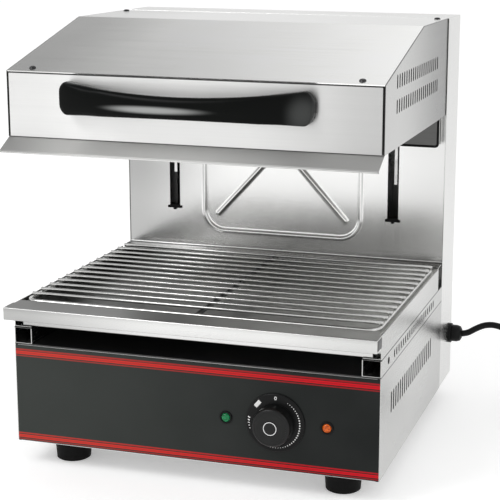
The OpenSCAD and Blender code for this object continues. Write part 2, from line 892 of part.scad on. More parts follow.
module roller_lower_right() {
    roller(0, roller_low);
}

// Corrugated conduit that brings the head's supply up to the carriage
module flex_conduit() {
    pitch = 5;
    folds = floor((lug_z - conduit_z) / pitch);
    fold_h = (lug_z - conduit_z) / folds;
    color(DARK_STEEL) centred() translate([0, conduit_y, conduit_z]) rotate_extrude() polygon(concat(
        [[0, 0]],
        [for (i = [0 : 2 * folds]) [conduit_r - (i % 2 == 0 ? 1.5 : 0), i * fold_h / 2]],
        [[0, lug_z - conduit_z]]
    ));
}

// ---- head ----

// Slope and top of the head, folded from one sheet
module hood_top() {
    color(STEEL) centred() difference() {
        folded_sheet(head_x, [
            [head_rear, column_top], [fold_y, column_top], [head_y, front_top]
        ], sheet_t);
        at_hood_screws() translate([0, 0, -4]) cylinder(r = screw_r + fit, h = 6);
    }
}

module at_hood_screws() {
    both_sides() {
        translate([head_x - 28, head_y, front_top]) rotate([slope, 0, 0])
            translate([0, 11, 0]) children();
        translate([head_x - 10, head_rear - 20, column_top]) children();
    }
}

module head_front() {
    color(STEEL) centred() difference() {
        block([-panel_x, panel_x], [head_y, head_y + sheet_t], [head_z, front_top - sheet_t - fit]);
        at_handle_screws() translate([0, 0, -3]) cylinder(r = screw_r + fit, h = 6);
    }
}

// Side of the head with two rows of vents and its lower edge turned in
module head_side(hand) {
    drop = sheet_t / cos(slope);
    vents = (head_y + head_rear) / 2 - 2.5;
    color(STEEL) centred() mirror([hand, 0, 0]) union() {
        upright_side(head_x - sheet_t, sheet_t) difference() {
            polygon([
                [head_y, head_z], [head_rear, head_z], [head_rear, column_top - sheet_t],
                [fold_y + sheet_t * tan(slope / 2), column_top - sheet_t], [head_y, front_top - drop]
            ]);
            vent_row_2d(vents, head_z + 46.2, head_vent_h);
            vent_row_2d(vents, head_z + 74, head_vent_h);
        }
        block([head_x - 14, head_x - sheet_t], [head_y + 5, apron_y - fit], [head_z, head_z + sheet_t]);
    }
}

module head_side_left() {
    head_side(1);
}

module head_side_right() {
    head_side(0);
}

// Lip below the front panel, flared forwards, with a hemmed edge
module head_lip() {
    behind = head_y + sheet_t;
    half = head_x - 0.5;
    color(STEEL) centred() union() {
        folded_sheet(half, [
            [head_y - lip_reach, head_z - lip_drop - 3], [head_y - lip_reach, head_z - lip_drop],
            [behind, head_z]
        ], -sheet_t);
        block([-panel_x + 1, panel_x - 1], [behind, behind + sheet_t],
              [head_z - sheet_t / 2, head_z + 12]);
    }
}

// Back plate that hangs below the head, with its sides folded back and tabs to the side panels
module head_apron() {
    rear = head_rear - 1;
    color(STEEL) centred() union() {
        block([-apron_x, apron_x], [apron_y, apron_y + sheet_t], [apron_z, apron_top]);
        both_sides() {
            block([apron_x - sheet_t, apron_x], [apron_y, rear], [apron_z, apron_top]);
            block([apron_x - sheet_t, head_x - sheet_t], [rear - sheet_t, rear],
                  [head_z + 3, apron_top]);
        }
    }
}

// Black edging round the sides and the bottom of the back plate
module apron_seal() {
    span = [apron_y + 3, head_rear - 1];
    color(BLACK) centred() union() {
        both_sides()
            block([apron_x, apron_x + 1.6], span, [apron_z - 1.6, head_z - 0.4]);
        block([-apron_x, apron_x], [apron_y, head_rear - 1], [apron_z - 1.6, apron_z]);
    }
}

module at_tubes() {
    middle = (head_y + apron_y) / 2;
    for (i = [-1 : 1])
        translate([0, middle + i * hairpin_pitch, 0]) children();
}

// Shallow inverted tray above the heating tubes, on the side panels' lower edges
module reflector() {
    span = [head_y + 13, apron_y - 9];
    color(CHROME) centred() difference() {
        union() {
            block([-reflector_x, reflector_x], span, [reflector_z, reflector_top]);
            both_sides()
                block([reflector_x - 1, head_x - sheet_t - fit], span, [reflector_z, reflector_z + 1]);
        }
        block([1 - reflector_x, reflector_x - 1], [span[0] + 1, span[1] - 1],
              [reflector_z - 1, reflector_top - 1]);
        at_tubes() for (y = [-hairpin_w / 2, hairpin_w / 2])
            translate([-terminal_x + 5, y, reflector_top - 3]) cylinder(r = tube_r + 0.5, h = 6);
    }
}

module insulation() {
    color([0.93, 0.9, 0.8]) centred()
        block([-terminal_x + 22, terminal_x], [head_y + 16, apron_y - 12],
              [reflector_top, reflector_top + insulation_t]);
}

// Three hairpin heating tubes with their ends turned up through the reflector
module heating_tubes() {
    bend = 8;
    start = bend + 5 - terminal_x;
    stop = terminal_x - hairpin_w / 2 - 8;
    color(DARK_STEEL) centred() at_tubes() translate([0, 0, tube_z]) {
        for (y = [-hairpin_w / 2, hairpin_w / 2]) {
            translate([start, y, 0]) rotate([0, 90, 0]) cylinder(r = tube_r, h = stop - start);
            translate([start, y, bend]) rotate([90, 0, 0]) rotate([0, 0, 180])
                rotate_extrude(angle = 90) translate([bend, 0]) circle(tube_r);
            translate([start - bend, y, bend]) cylinder(r = tube_r, h = 26);
        }
        translate([stop, 0, 0]) rotate([0, 0, -90])
            rotate_extrude(angle = 180) translate([hairpin_w / 2, 0]) circle(tube_r);
    }
}

// Two hangers below the reflector that the heating tubes lie on
module tube_clamps() {
    low = tube_z - tube_r - fit - 1.5;
    color(STEEL) centred() for (x = [-clamp_x, clamp_x]) {
        block([x - 6, x + 6], [head_y + 15, apron_y - 11], [low, low + 1.5]);
        for (y = [head_y + 15, apron_y - 12.5])
            block([x - 6, x + 6], [y, y + 1.5], [low, reflector_top - 1]);
    }
}

function ease(s) = let (c = min(max(s, 0), 1)) c * c * (3 - 2 * c);
function rounded(v, power) = sign(v) * pow(abs(v), power);

// Handle: solid at both ends, where it stands on the panel, and bowed clear of it between them
module handle_body() {
    steps = 44;
    sides = 16;
    waist = handle_pad_h - handle_grip_h;
    flat = 0.6;
    low_share = 0.25;
    rings = [
        for (i = [0 : steps])
            let (u = 2 * i / steps - 1)
            let (s = abs(sin(90 * u)))
            let (x = sign(u) * s * handle_l / 2)
            let (neck = 1 - s * s)
            let (front = handle_pad_t + (handle_reach - handle_pad_t) * pow(neck, 0.8))
            let (back = (front - handle_grip_t) * ease((0.8 - s) / 0.2))
            let (end = s > 0.98 ? sqrt(max(1 - pow((s - 0.98) / 0.02, 2), 0.1)) : 1)
            let (tip = s > 0.92 ? sqrt(max(1 - pow((s - 0.92) / 0.08, 2.2), 0.08)) : 1)
            let (top = handle_pad_h / 2 - neck * waist * (1 - low_share))
            let (bottom = neck * waist * low_share - handle_pad_h / 2)
            for (k = [0 : sides - 1])
                let (a = 360 * k / sides)
                [x, min(-back, flat / 2 - (front * end + back) / 2
                        - rounded(cos(a), 0.5) * (front * end - back + flat) / 2),
                 (top + bottom) / 2 + rounded(sin(a), 0.55) * tip * (top - bottom) / 2]
    ];
    last = steps * sides;
    polyhedron(
        points = rings,
        faces = concat(
            [for (i = [0 : steps - 1]) for (k = [0 : sides - 1])
                let (a = i * sides + k)
                let (b = i * sides + (k + 1) % sides)
                [a, b, b + sides, a + sides]],
            [[for (k = [sides - 1 : -1 : 0]) k]],
            [[for (k = [0 : sides - 1]) last + k]]
        )
    );
}

module at_handle_screws() {
    translate([-handle_off, 0, 0]) both_sides() for (z = [-11, 11])
        facing_front(handle_l / 2 - 22, head_y, grip_z + z) children();
}

module lift_handle() {
    color(BLACK) centred() difference() {
        translate([-handle_off, head_y, grip_z]) handle_body();
        at_handle_screws() translate([0, 0, -1]) cylinder(r = screw_r + fit, h = 6);
    }
}

// Screws from inside the head into the handle's pads
module handle_screws() {
    color(CHROME) centred() at_handle_screws()
        translate([0, 0, -sheet_t]) mirror([0, 0, 1]) screw(sheet_t + 4);
}

module hood_screws() {
    color(DARK_STEEL) centred() at_hood_screws() screw(sheet_t + 3);
}

// ---- tray and grate ----

// Tray with a front lip to pull it by, shelves for the grate and two pressed runners
module drip_tray() {
    color(STEEL) centred() union() {
        block([-tray_wall_x, tray_wall_x], [tray_front, tray_back], [tray_floor, tray_floor + sheet_t]);
        block([-tray_x, tray_x], [tray_front, tray_front + sheet_t], [tray_floor, tray_top]);
        block([-tray_x, tray_x], [tray_back - sheet_t, tray_back], [tray_floor, tray_rear_top]);
        block([-tray_x, tray_x], [tray_back - 0.5, tray_back + 10],
              [tray_rear_top - sheet_t, tray_rear_top]);
        block([-tray_x, tray_x], [-1, tray_front + 0.5], [tray_top - sheet_t, tray_top]);
        folded_sheet(half_w + 0.5, [
            [-8, tray_top - tray_lip_h], [-tray_reach, tray_top - tray_lip_h], [-tray_reach, tray_top],
            [-0.5, tray_top]
        ], -sheet_t);
        block([-tray_skin_x, tray_skin_x], [tray_skin_y, tray_skin_y + sheet_t],
              [tray_skin_z, tray_top - 0.5]);
        both_sides() {
            block([tray_wall_x - sheet_t, tray_wall_x], [tray_front, tray_back],
                  [tray_floor, tray_shelf]);
            block([tray_wall_x - sheet_t, tray_x], [tray_front, tray_back],
                  [tray_shelf - sheet_t, tray_shelf]);
            block([tray_wall_x - 9, tray_wall_x - 1], [tray_front, tray_back],
                  [tray_floor - tray_runner_h, tray_floor]);
        }
    }
}

module wire_along_x(x, y, z, r) {
    facing_right(-x, y, z) cylinder(r = r, h = 2 * x);
}

module wire_along_y(x, y, z, r) {
    facing_back(x, y[0], z) cylinder(r = r, h = y[1] - y[0]);
}

// Frame wire with round corners, and a middle wire
module grate_frame() {
    c = frame_corner_r;
    color(CHROME) centred() union() {
        for (y = [frame_front, frame_back])
            wire_along_x(frame_x - c, y, frame_z, frame_r);
        for (x = [-frame_x, frame_x])
            wire_along_y(x, [frame_front + c, frame_back - c], frame_z, frame_r);
        for (s = [0 : 3])
            translate([(s == 0 || s == 3 ? 1 : -1) * (frame_x - c),
                       s < 2 ? frame_back - c : frame_front + c, frame_z])
                rotate([0, 0, 90 * s]) rotate_extrude(angle = 90) translate([c, 0]) circle(frame_r);
        wire_along_y(0, [frame_front, frame_back], frame_z, frame_r);
    }
}

// Cross wires, welded on top of the frame
module grate_wires() {
    color(CHROME) centred() for (i = [0 : cross_count])
        wire_along_x(frame_x + 2, frame_front + cross_first + i * cross_pitch, cross_z, cross_r);
}

// ---- power lead ----

module gland_body() {
    inside = gland_r - 3.5;
    color(BLACK) centred() facing_right(half_w, gland_y, gland_z) difference() {
        union() {
            cylinder(r = gland_r, h = gland_flange_t);
            translate([0, 0, -12]) cylinder(r = inside, h = 13);
            translate([0, 0, -sheet_t - 5]) cylinder(r = gland_r, h = 5, $fn = 6);
        }
        translate([0, 0, -13]) cylinder(r = lead_d / 2 + 0.3, h = gland_flange_t + 14);
    }
}

// Tapered nut that grips the lead
module gland_nut() {
    l = gland_nut_l;
    bore = lead_d / 2 + fit;
    color(BLACK) centred() facing_right(half_w + gland_flange_t, gland_y, gland_z)
        rotate_extrude() polygon([
            [bore, 0], [gland_r - 2, 0], [gland_r - 2, l * 0.55], [gland_r - 3.5, l * 0.85],
            [bore + 2.2, l], [bore, l]
        ]);
}

module mains_lead() {
    color(BLACK) {
        sweep(LEAD_ROUTE, lead_d / 2, 10, [0, 1, 0]);
        sweep(TAIL_ROUTE, lead_d / 2, 10, [0, 0, 1]);
    }
}

// Outer shape of the coiled lead: three turns on the worktop and one on top of the inner one
module lead_coil() {
    r = lead_d / 2;
    low = 0.1;
    mid = low + lead_d + 0.1;
    top = mid + lead_d;
    color(BLACK) translate([COIL_CENTRE[0], COIL_CENTRE[1], 0]) rotate_extrude() polygon([
        [COIL_R[0] - r, low], [COIL_R[2] + r, low], [COIL_R[2] + r, mid], [COIL_R[1] + r, mid],
        [COIL_R[0] + r, top], [COIL_R[0] - r, top]
    ]);
}

module facing_plug() {
    translate(PLUG_AT) rotate([90, 0, 0]) children();
}

module mains_plug() {
    sleeve = 22;
    body = 34;
    color(BLACK) facing_plug() rotate_extrude() polygon([
        [0, 0], [lead_d / 2 + 1.2, 0], [lead_d / 2 + 4, sleeve], [plug_r * 0.72, sleeve + 4],
        [plug_r * 0.9, sleeve + 12], [plug_r, sleeve + 18], [plug_r, sleeve + body],
        [0, sleeve + body]
    ]);
}

module plug_pins() {
    color(BRASS) facing_plug() for (x = [-9.5, 9.5])
        translate([x, 0, 56]) cylinder(r = pin_r, h = pin_l);
}

base_floor();
side_panel_left();
side_panel_right();
front_panel();
control_overlay();
deck_plate();
rail_left();
rail_right();
skirt_left();
skirt_right();
rail_screws();
column_shell();
column_front();
back_cover();
back_screws();
lift_guides();
slot_bumpers();
lift_springs();
spring_bar();
feet();
foot_screws();
green_lamp();
amber_lamp();
lamp_bezels();
regulator_body();
terminal_block();
wiring();
flex_conduit();
gland_body();
gland_nut();
mains_lead();
lead_coil();
mains_plug();
plug_pins();
knob_grip();
dial_skirt();
knob_cap();
regulator_shaft();
hood_top();
head_front();
head_side_left();
head_side_right();
head_lip();
head_apron();
apron_seal();
reflector();
insulation();
heating_tubes();
tube_clamps();
lift_handle();
handle_screws();
hood_screws();
lift_carriage();
roller_upper_left();
roller_upper_right();
roller_lower_left();
roller_lower_right();
drip_tray();
grate_frame();
grate_wires();
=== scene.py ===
"""Looks of a counter-top lift-head grill: finishes, soft forms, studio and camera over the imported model."""

import json
import logging
import math
from dataclasses import dataclass
from enum import Enum
from typing import Any, Optional, Sequence, Union

import bmesh
import bpy
from mathutils import Matrix, Vector

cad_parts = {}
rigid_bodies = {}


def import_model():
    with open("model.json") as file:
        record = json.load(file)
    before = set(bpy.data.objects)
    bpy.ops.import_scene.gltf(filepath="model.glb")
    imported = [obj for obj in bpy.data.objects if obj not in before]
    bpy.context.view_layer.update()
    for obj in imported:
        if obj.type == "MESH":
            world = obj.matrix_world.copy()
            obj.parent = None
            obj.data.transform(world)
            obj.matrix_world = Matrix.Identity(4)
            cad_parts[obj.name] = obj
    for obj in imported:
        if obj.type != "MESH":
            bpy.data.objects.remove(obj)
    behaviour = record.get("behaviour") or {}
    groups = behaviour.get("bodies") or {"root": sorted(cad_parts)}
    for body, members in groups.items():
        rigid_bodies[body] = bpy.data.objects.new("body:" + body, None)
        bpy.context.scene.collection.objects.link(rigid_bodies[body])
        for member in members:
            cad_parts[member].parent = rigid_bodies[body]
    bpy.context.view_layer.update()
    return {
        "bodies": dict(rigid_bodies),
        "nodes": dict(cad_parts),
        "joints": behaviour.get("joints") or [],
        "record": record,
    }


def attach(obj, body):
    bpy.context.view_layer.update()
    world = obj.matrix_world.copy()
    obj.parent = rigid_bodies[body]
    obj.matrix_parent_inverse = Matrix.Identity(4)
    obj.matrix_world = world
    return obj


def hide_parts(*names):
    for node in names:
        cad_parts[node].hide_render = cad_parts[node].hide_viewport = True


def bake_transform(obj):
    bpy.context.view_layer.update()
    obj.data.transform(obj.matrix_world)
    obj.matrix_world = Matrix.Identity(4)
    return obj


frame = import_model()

LOG = logging.getLogger("grill")
MM = 0.001  # one millimetre in metres
TINY = 1e-7  # lengths under this count as none, in metres
WELD = 0.000002  # packed corners nearer than this are joined before their edges are rounded
EDGE_ANGLE = math.radians(40.0)  # packed edges sharper than this are rounded
Point = tuple[float, float, float]
Colour = Point
Flat = tuple[float, float]
Box = tuple[float, float, float, float]
FIRST, LAST = 0, -1
BOTH = (FIRST, LAST)


def mm(*values: float) -> tuple[float, ...]:
    """Millimetres as metres."""
    return tuple(v * MM for v in values)


def grey(level: float) -> Colour:
    """An even grey."""
    return (level, level, level)


def ease(share: float) -> float:
    """A share kept between 0 and 1, and eased at both ends."""
    share = min(max(share, 0.0), 1.0)
    return share * share * (3 - 2 * share)


def circle(sides: int) -> list[Flat]:
    """Even points round a circle of radius 1."""
    turns = [2 * math.pi * i / sides for i in range(sides)]
    return [(math.cos(t), math.sin(t)) for t in turns]


# Shaders


class Value:
    """One output of a node. Arithmetic on it adds Math nodes to its tree."""

    def __init__(self, shader: "Shader", socket: bpy.types.NodeSocket) -> None:
        """Keep the socket with the tree that it belongs to."""
        self.shader = shader
        self.socket = socket

    def __add__(self, other: "Number") -> "Value":
        """Sum."""
        return self.shader.maths("ADD", self, other)

    def __sub__(self, other: "Number") -> "Value":
        """Difference."""
        return self.shader.maths("SUBTRACT", self, other)

    def __rsub__(self, other: "Number") -> "Value":
        """Difference from a number."""
        return self.shader.maths("SUBTRACT", other, self)

    def __mul__(self, other: "Number") -> "Value":
        """Product."""
        return self.shader.maths("MULTIPLY", self, other)

    def __truediv__(self, other: "Number") -> "Value":
        """Quotient."""
        return self.shader.maths("DIVIDE", self, other)

    def __rtruediv__(self, other: "Number") -> "Value":
        """Quotient of a number."""
        return self.shader.maths("DIVIDE", other, self)

    def __abs__(self) -> "Value":
        """Size without its sign."""
        return self.shader.maths("ABSOLUTE", self)

    __radd__ = __add__
    __rmul__ = __mul__

    def band(self, low: float, high: float, soft: float) -> "Value":
        """A stripe: 1 between low and high, fading to 0 over a soft edge."""
        inside = (high - low) / 2 - abs(self - (low + high) / 2)
        return self.shader.maths("MULTIPLY_ADD", inside, 1 / soft, 0.5, clamp=True)

    def fade(self, start: float, end: float, low: float = 0.0, high: float = 1.0) -> "Value":
        """Run smoothly from low at start to high at end."""
        sockets = {"Value": self, "From Min": start, "From Max": end, "To Min": low, "To Max": high}
        return self.shader.node("ShaderNodeMapRange", {"interpolation_type": "SMOOTHSTEP"}, sockets)


Number = Union[Value, float]


class Shader:
    """The node tree of one material, or of the world."""

    def __init__(self, owner: Union[bpy.types.Material, bpy.types.World]) -> None:
        """Start from an empty tree."""
        owner.use_nodes = True
        self.tree = owner.node_tree
        self.tree.nodes.clear()

    def node(
        self, kind: str, settings: Optional[dict[str, Any]] = None,
        sockets: Optional[dict[Union[int, str], Any]] = None, output: Union[int, str] = 0,
    ) -> Value:
        """Add a node.

        Args:
            kind: the node's type.
            settings: its properties.
            sockets: values or links for its inputs, by name or number.
            output: the output that is wanted.

        Returns:
            That output.
        """
        made = self.tree.nodes.new(kind)
        for name, setting in (settings or {}).items():
            setattr(made, name, setting)
        for name, value in (sockets or {}).items():
            if isinstance(value, Value):
                self.tree.links.new(value.socket, made.inputs[name])
            elif isinstance(value, tuple) and made.inputs[name].type == "RGBA":
                made.inputs[name].default_value = (*value, 1.0)
            else:
                made.inputs[name].default_value = value
        return Value(self, made.outputs[output])

    def maths(self, operation: str, *terms: Number, clamp: bool = False) -> Value:
        """A Math node's result, kept between 0 and 1 where clamp is set."""
        settings = {"operation": operation, "use_clamp": clamp}
        return self.node("ShaderNodeMath", settings, dict(enumerate(terms)))

    def mix(self, share: Number, first: Any, second: Any, how: str = "MIX") -> Value:
        """Mix two colours; share is how much of the second, how is the blend type."""
        settings = {"data_type": "RGBA", "blend_type": how}
        return self.node("ShaderNodeMix", settings, {0: share, 6: first, 7: second}, 2)

    def axes(self, kind: str = "Object") -> tuple[Value, ...]:
        """The parts along x, y and z of a point's place, or of another kind of coordinate."""
        split = self.node("ShaderNodeSeparateXYZ", None, {0: self.node("ShaderNodeTexCoord", output=kind)})
        return tuple(Value(self, s) for s in split.socket.node.outputs)

    def noise(self, scale: Union[float, Point], detail: float = 2.0, rough: float = 0.5) -> Value:
        """Soft random value around 0.5.

        Args:
            scale: patches to the metre, or one number for each axis.
            detail: how many finer layers it has.
            rough: how strong these are.

        Returns:
            The value.
        """
        place = self.node("ShaderNodeTexCoord", output="Object")
        sockets = {0: place, 1: scale if isinstance(scale, tuple) else (scale, scale, scale)}
        place = self.node("ShaderNodeVectorMath", {"operation": "MULTIPLY"}, sockets)
        sockets = {"Vector": place, "Scale": 1.0, "Detail": detail, "Roughness": rough}
        return self.node("ShaderNodeTexNoise", None, sockets)

    def bump(self, height: Value, depth: float, strength: float = 1.0) -> Value:
        """A surface normal that follows a height; depth is what a height of 1 is, in metres."""
        return self.node("ShaderNodeBump", None, {"Strength": strength, "Distance": depth, "Height": height})

    def surface(self, **sockets: Any) -> None:
        """Dress the material in one Principled shader; the sockets' names have _ for a space."""
        named = {name.replace("_", " "): value for name, value in sockets.items()}
        self.end(self.node("ShaderNodeBsdfPrincipled", None, named))

    def end(self, shader: Value, kind: str = "ShaderNodeOutputMaterial") -> None:
        """Send a shader to the tree's end node."""
        self.tree.links.new(shader.socket, self.tree.nodes.new(kind).inputs["Surface"])


class Grain(Enum):
    """The way that the drawn lines of a sheet run, as patches to the metre on each axis."""

    ALONG_X = (5.0, 1.0, 1.0)
    ALONG_Y = (1.0, 5.0, 1.0)
    ALONG_Z = (1.0, 1.0, 5.0)

    def scale(self, lines: float) -> Point:
        """Scale of a streak pattern with so many lines to the metre."""
        return tuple(v if v > 1 else lines for v in self.value)


@dataclass(frozen=True)
class Finish:
    """What one kind of surface looks like."""

    name: str

    def material(self) -> bpy.types.Material:
        """The finish as a material, made once.

        Returns:
            The material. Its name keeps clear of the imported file's plain ones.
        """
        name = f"finish_{self.name}"
        found = bpy.data.materials.get(name)
        if found is None:
            found = bpy.data.materials.new(name)
            self.paint(Shader(found))
        return found

    def paint(self, shader: Shader) -> None:
        """Build the nodes."""
        raise NotImplementedError


@dataclass(frozen=True)
class BrushedSteel(Finish):
    """Stainless sheet with drawn lines, faint clouds and a few finger marks."""

    tint: Colour
    roughness: float = 0.26
    grain: Grain = Grain.ALONG_X
    streaks: float = 0.06
    anisotropy: float = 0.35
    turn: float = 0.0
    relief: float = 0.000004
    clouding: float = 0.05
    # dark joints: axis, and where the joint starts and ends in millimetres
    seams: tuple[Point, ...] = ()
    seam_depth: float = 0.92
    # painted light and shade, brighter or darker where reflections and shade fall: axis, where it starts and ends in
    # millimetres, and the shades there
    fall: tuple[tuple[int, float, float, float, float], ...] = ()
    # painted shade in the cut walls of vents: the axis that they face along, and where they start on it in millimetres
    cut_shade: Optional[tuple[int, float]] = None
    cut_shade_depth: float = 0.93
    # painted shade: how much darker the flanks of pressed beads are
    flank_shade: float = 0.0

    def paint(self, shader: Shader) -> None:
        """Lines in the colour and the roughness, painted light and shade along the sheet, dark joints, painted shade in
        cut walls and on bead flanks, a shallow relief.
        """
        fine = shader.noise(self.grain.scale(900.0), 3.0, 0.65)
        broad = shader.noise(self.grain.scale(150.0), 3.0, 0.6)
        clouds = shader.noise(9.0, 3.0, 0.55)
        lines = fine * 0.6 + broad * 0.4
        shade = 1.0 + (lines - 0.5) * (2 * self.streaks) + (clouds - 0.5) * (2 * self.clouding)
        places = shader.axes()
        # painted light and shade: each fall makes the colour brighter or darker along one axis
        for axis, start, end, first, last in self.fall:
            shade = shade * places[axis].fade(start * MM, end * MM, first, last)
        for axis, low, high in self.seams:
            shade = shade * (1.0 - self.seam_depth * places[axis].band(low * MM, high * MM, 0.0003))
        # painted shade: cut walls that face along the axis are darkened
        if self.cut_shade:
            axis, start = self.cut_shade
            facing = abs(shader.axes("Normal")[axis]).fade(0.35, 0.6)
            shade = shade * (1.0 - self.cut_shade_depth * facing * places[axis].fade((start - 0.5) * MM, start * MM))
        # painted shade on the bead flanks, leaving each bead a lighter middle between darker sides
        if self.flank_shade:
            shade = shade * abs(shader.axes("Normal")[1]).fade(0.97, 0.78, 1.0, 1.0 - self.flank_shade)
        level = shader.node("ShaderNodeCombineColor", None, {0: shade, 1: shade, 2: shade})
        shader.surface(
            Base_Color=shader.mix(1.0, self.tint, level, "MULTIPLY"), Metallic=1.0,
            Roughness=self.roughness + (lines - 0.5) * 0.1 + (clouds - 0.5) * 0.06,
            Anisotropic=self.anisotropy, Anisotropic_Rotation=self.turn, Normal=shader.bump(lines, self.relief),
        )


@dataclass(frozen=True)
class BrightMetal(Finish):
    """Plated, ground or cast metal with a faint uneven sheen."""

    tint: Colour
    roughness: float
    unevenness: float
    patches: float

    def paint(self, shader: Shader) -> None:
        """Clouds in the colour and the roughness."""
        clouds = shader.noise(self.patches, 3.0, 0.6)
        dull = tuple(c * (1 - 4 * self.unevenness) for c in self.tint)
        shader.surface(
            Base_Color=shader.mix(clouds.fade(0.35, 0.7), self.tint, dull), Metallic=1.0,
            Roughness=self.roughness + (clouds - 0.5) * (4 * self.unevenness),
            Normal=shader.bump(shader.noise(self.patches * 14, 2.0), 0.00003, 0.5),
        )


@dataclass(frozen=True)
class Moulding(Finish):
    """Moulded plastic or rubber: a fine grain, faint wear and dust."""

    colour: Colour
    roughness: float
    grain: float
    relief: float
    wear: Colour
    gloss: float = 0.3
    # painted highlights, lighter patches in the colour: middle and half sizes in millimetres, and the shade there
    painted_highlights: tuple[tuple[Point, Point, Colour], ...] = ()

    def paint(self, shader: Shader) -> None:
        """A leathery grain, with patches that are rubbed lighter, and painted highlights where given."""
        grain = shader.noise(self.grain, 2.0, 0.5)
        rubbed = shader.noise(28.0, 4.0, 0.6).fade(0.45, 0.75)
        colour = shader.mix(rubbed * 0.5, self.colour, self.wear)
        for middle, reach, shade in self.painted_highlights:
            parts = [(place * 1000.0 - m) / r for place, m, r in zip(shader.axes(), middle, reach)]
            near = sum((part * part for part in parts), start=0.0).fade(0.0, 1.0, 1.0, 0.0)
            colour = shader.mix(near * near * near, colour, shade)
        shader.surface(
            Base_Color=colour, Roughness=self.roughness + (grain - 0.5) * 0.1 + rubbed * 0.06,
            Specular_IOR_Level=self.gloss, Normal=shader.bump(grain, self.relief),
        )


@dataclass(frozen=True)
class PrintedSheet(Finish):
    """Charcoal printed film with two groups of red lines across it."""

    # painted sheen: the ground and the red are lighter at the left and darker at the right
    left: Colour = (0.029, 0.033, 0.03)
    right: Colour = (0.005, 0.0065, 0.006)
    worn: Colour = (0.07, 0.072, 0.071)
    red_left: Colour = (0.54, 0.03, 0.02)
    red_right: Colour = (0.52, 0.0, 0.008)
    # low and high edge of each line, in millimetres above the floor, and how strong it is
    lines: tuple[Point, ...] = (
        (136.9, 138.3, 0.5), (139.5, 143.6, 1.0), (144.4, 146.3, 0.6),
        (32.0, 33.3, 0.5), (34.5, 38.2, 1.0), (39.3, 40.9, 0.75),
    )
    cores: tuple[Flat, ...] = ((141.2, 141.8), (36.1, 36.6))

    def paint(self, shader: Shader) -> None:
        """Stripe masks over a satin ground with a fine leather grain, and a painted sheen that makes ground and red
        lighter at the left.
        """
        places = shader.axes()
        height = places[2] * 1000.0
        across = places[0].fade(-0.2, 0.2)
        grain = shader.noise(1500.0, 2.0, 0.5)
        clouds = shader.noise(14.0, 2.0, 0.5)
        # painted sheen from left to right
        ground = shader.mix(across, self.left, self.right)
        ground = shader.mix((clouds - 0.5) * 0.2 + (grain - 0.5) * 0.08 + 0.05, ground, self.worn)
        mask = sum((height.band(low, high, 0.5) * share for low, high, share in self.lines), start=0.0)
        core = sum((height.band(low, high, 0.4) for low, high in self.cores), start=0.0)
        red = shader.mix(across, self.red_left, self.red_right)
        shader.surface(
            Base_Color=shader.mix(mask - core * 0.6, ground, red), Roughness=0.38 + (grain - 0.5) * 0.1,
            Specular_IOR_Level=0.15, Normal=shader.bump(grain, 0.00002),
        )


@dataclass(frozen=True)
class LampLens(Finish):
    """Coloured clear plastic with a ribbed inside and a faint glow."""

    colour: Colour
    deep: Colour
    glow: float

    def paint(self, shader: Shader) -> None:
        """Mottled colour under a clear coat."""
        cells = shader.noise(700.0, 1.0, 0.4)
        colour = shader.mix(cells.fade(0.35, 0.65), self.deep, self.colour)
        shader.surface(
            Base_Color=colour, Roughness=0.12 + cells * 0.08, Coat_Weight=0.15, Coat_Roughness=0.04,
            Specular_IOR_Level=0.25, Emission_Color=colour, Emission_Strength=self.glow,
            Normal=shader.bump(cells, 0.00003, 0.3),
        )


@dataclass(frozen=True)
class HeaterSheath(Finish):
    """Metal sheath that heat has browned in patches."""

    cool: Colour = (0.20, 0.19, 0.18)
    burnt: Colour = (0.07, 0.055, 0.045)

    def paint(self, shader: Shader) -> None:
        """Brown and gray patches, rough where they are burnt."""
        patches = shader.noise(70.0, 4.0, 0.65).fade(0.35, 0.65)
        grain = shader.noise(1800.0, 2.0, 0.6)
        shader.surface(
            Base_Color=shader.mix(patches, self.cool, self.burnt), Metallic=0.55,
            Roughness=0.45 + patches * 0.2 + (grain - 0.5) * 0.12, Normal=shader.bump(grain, 0.00004),
        )


@dataclass(frozen=True)
class MineralWool(Finish):
    """Pressed fibre blanket."""

    light: Colour = (0.72, 0.68, 0.58)
    dark: Colour = (0.45, 0.42, 0.34)

    def paint(self, shader: Shader) -> None:
        """Fibres that cross each other in flat layers."""
        crossed = [shader.noise(scale, 4.0, 0.7) * 0.5 for scale in ((260.0, 900.0, 1400.0), (900.0, 260.0, 1400.0))]
        fibres = crossed[0] + crossed[1]
        shader.surface(
            Base_Color=shader.mix(fibres.fade(0.3, 0.7), self.dark, self.light),
            Roughness=0.92, Normal=shader.bump(fibres, 0.0004),
        )


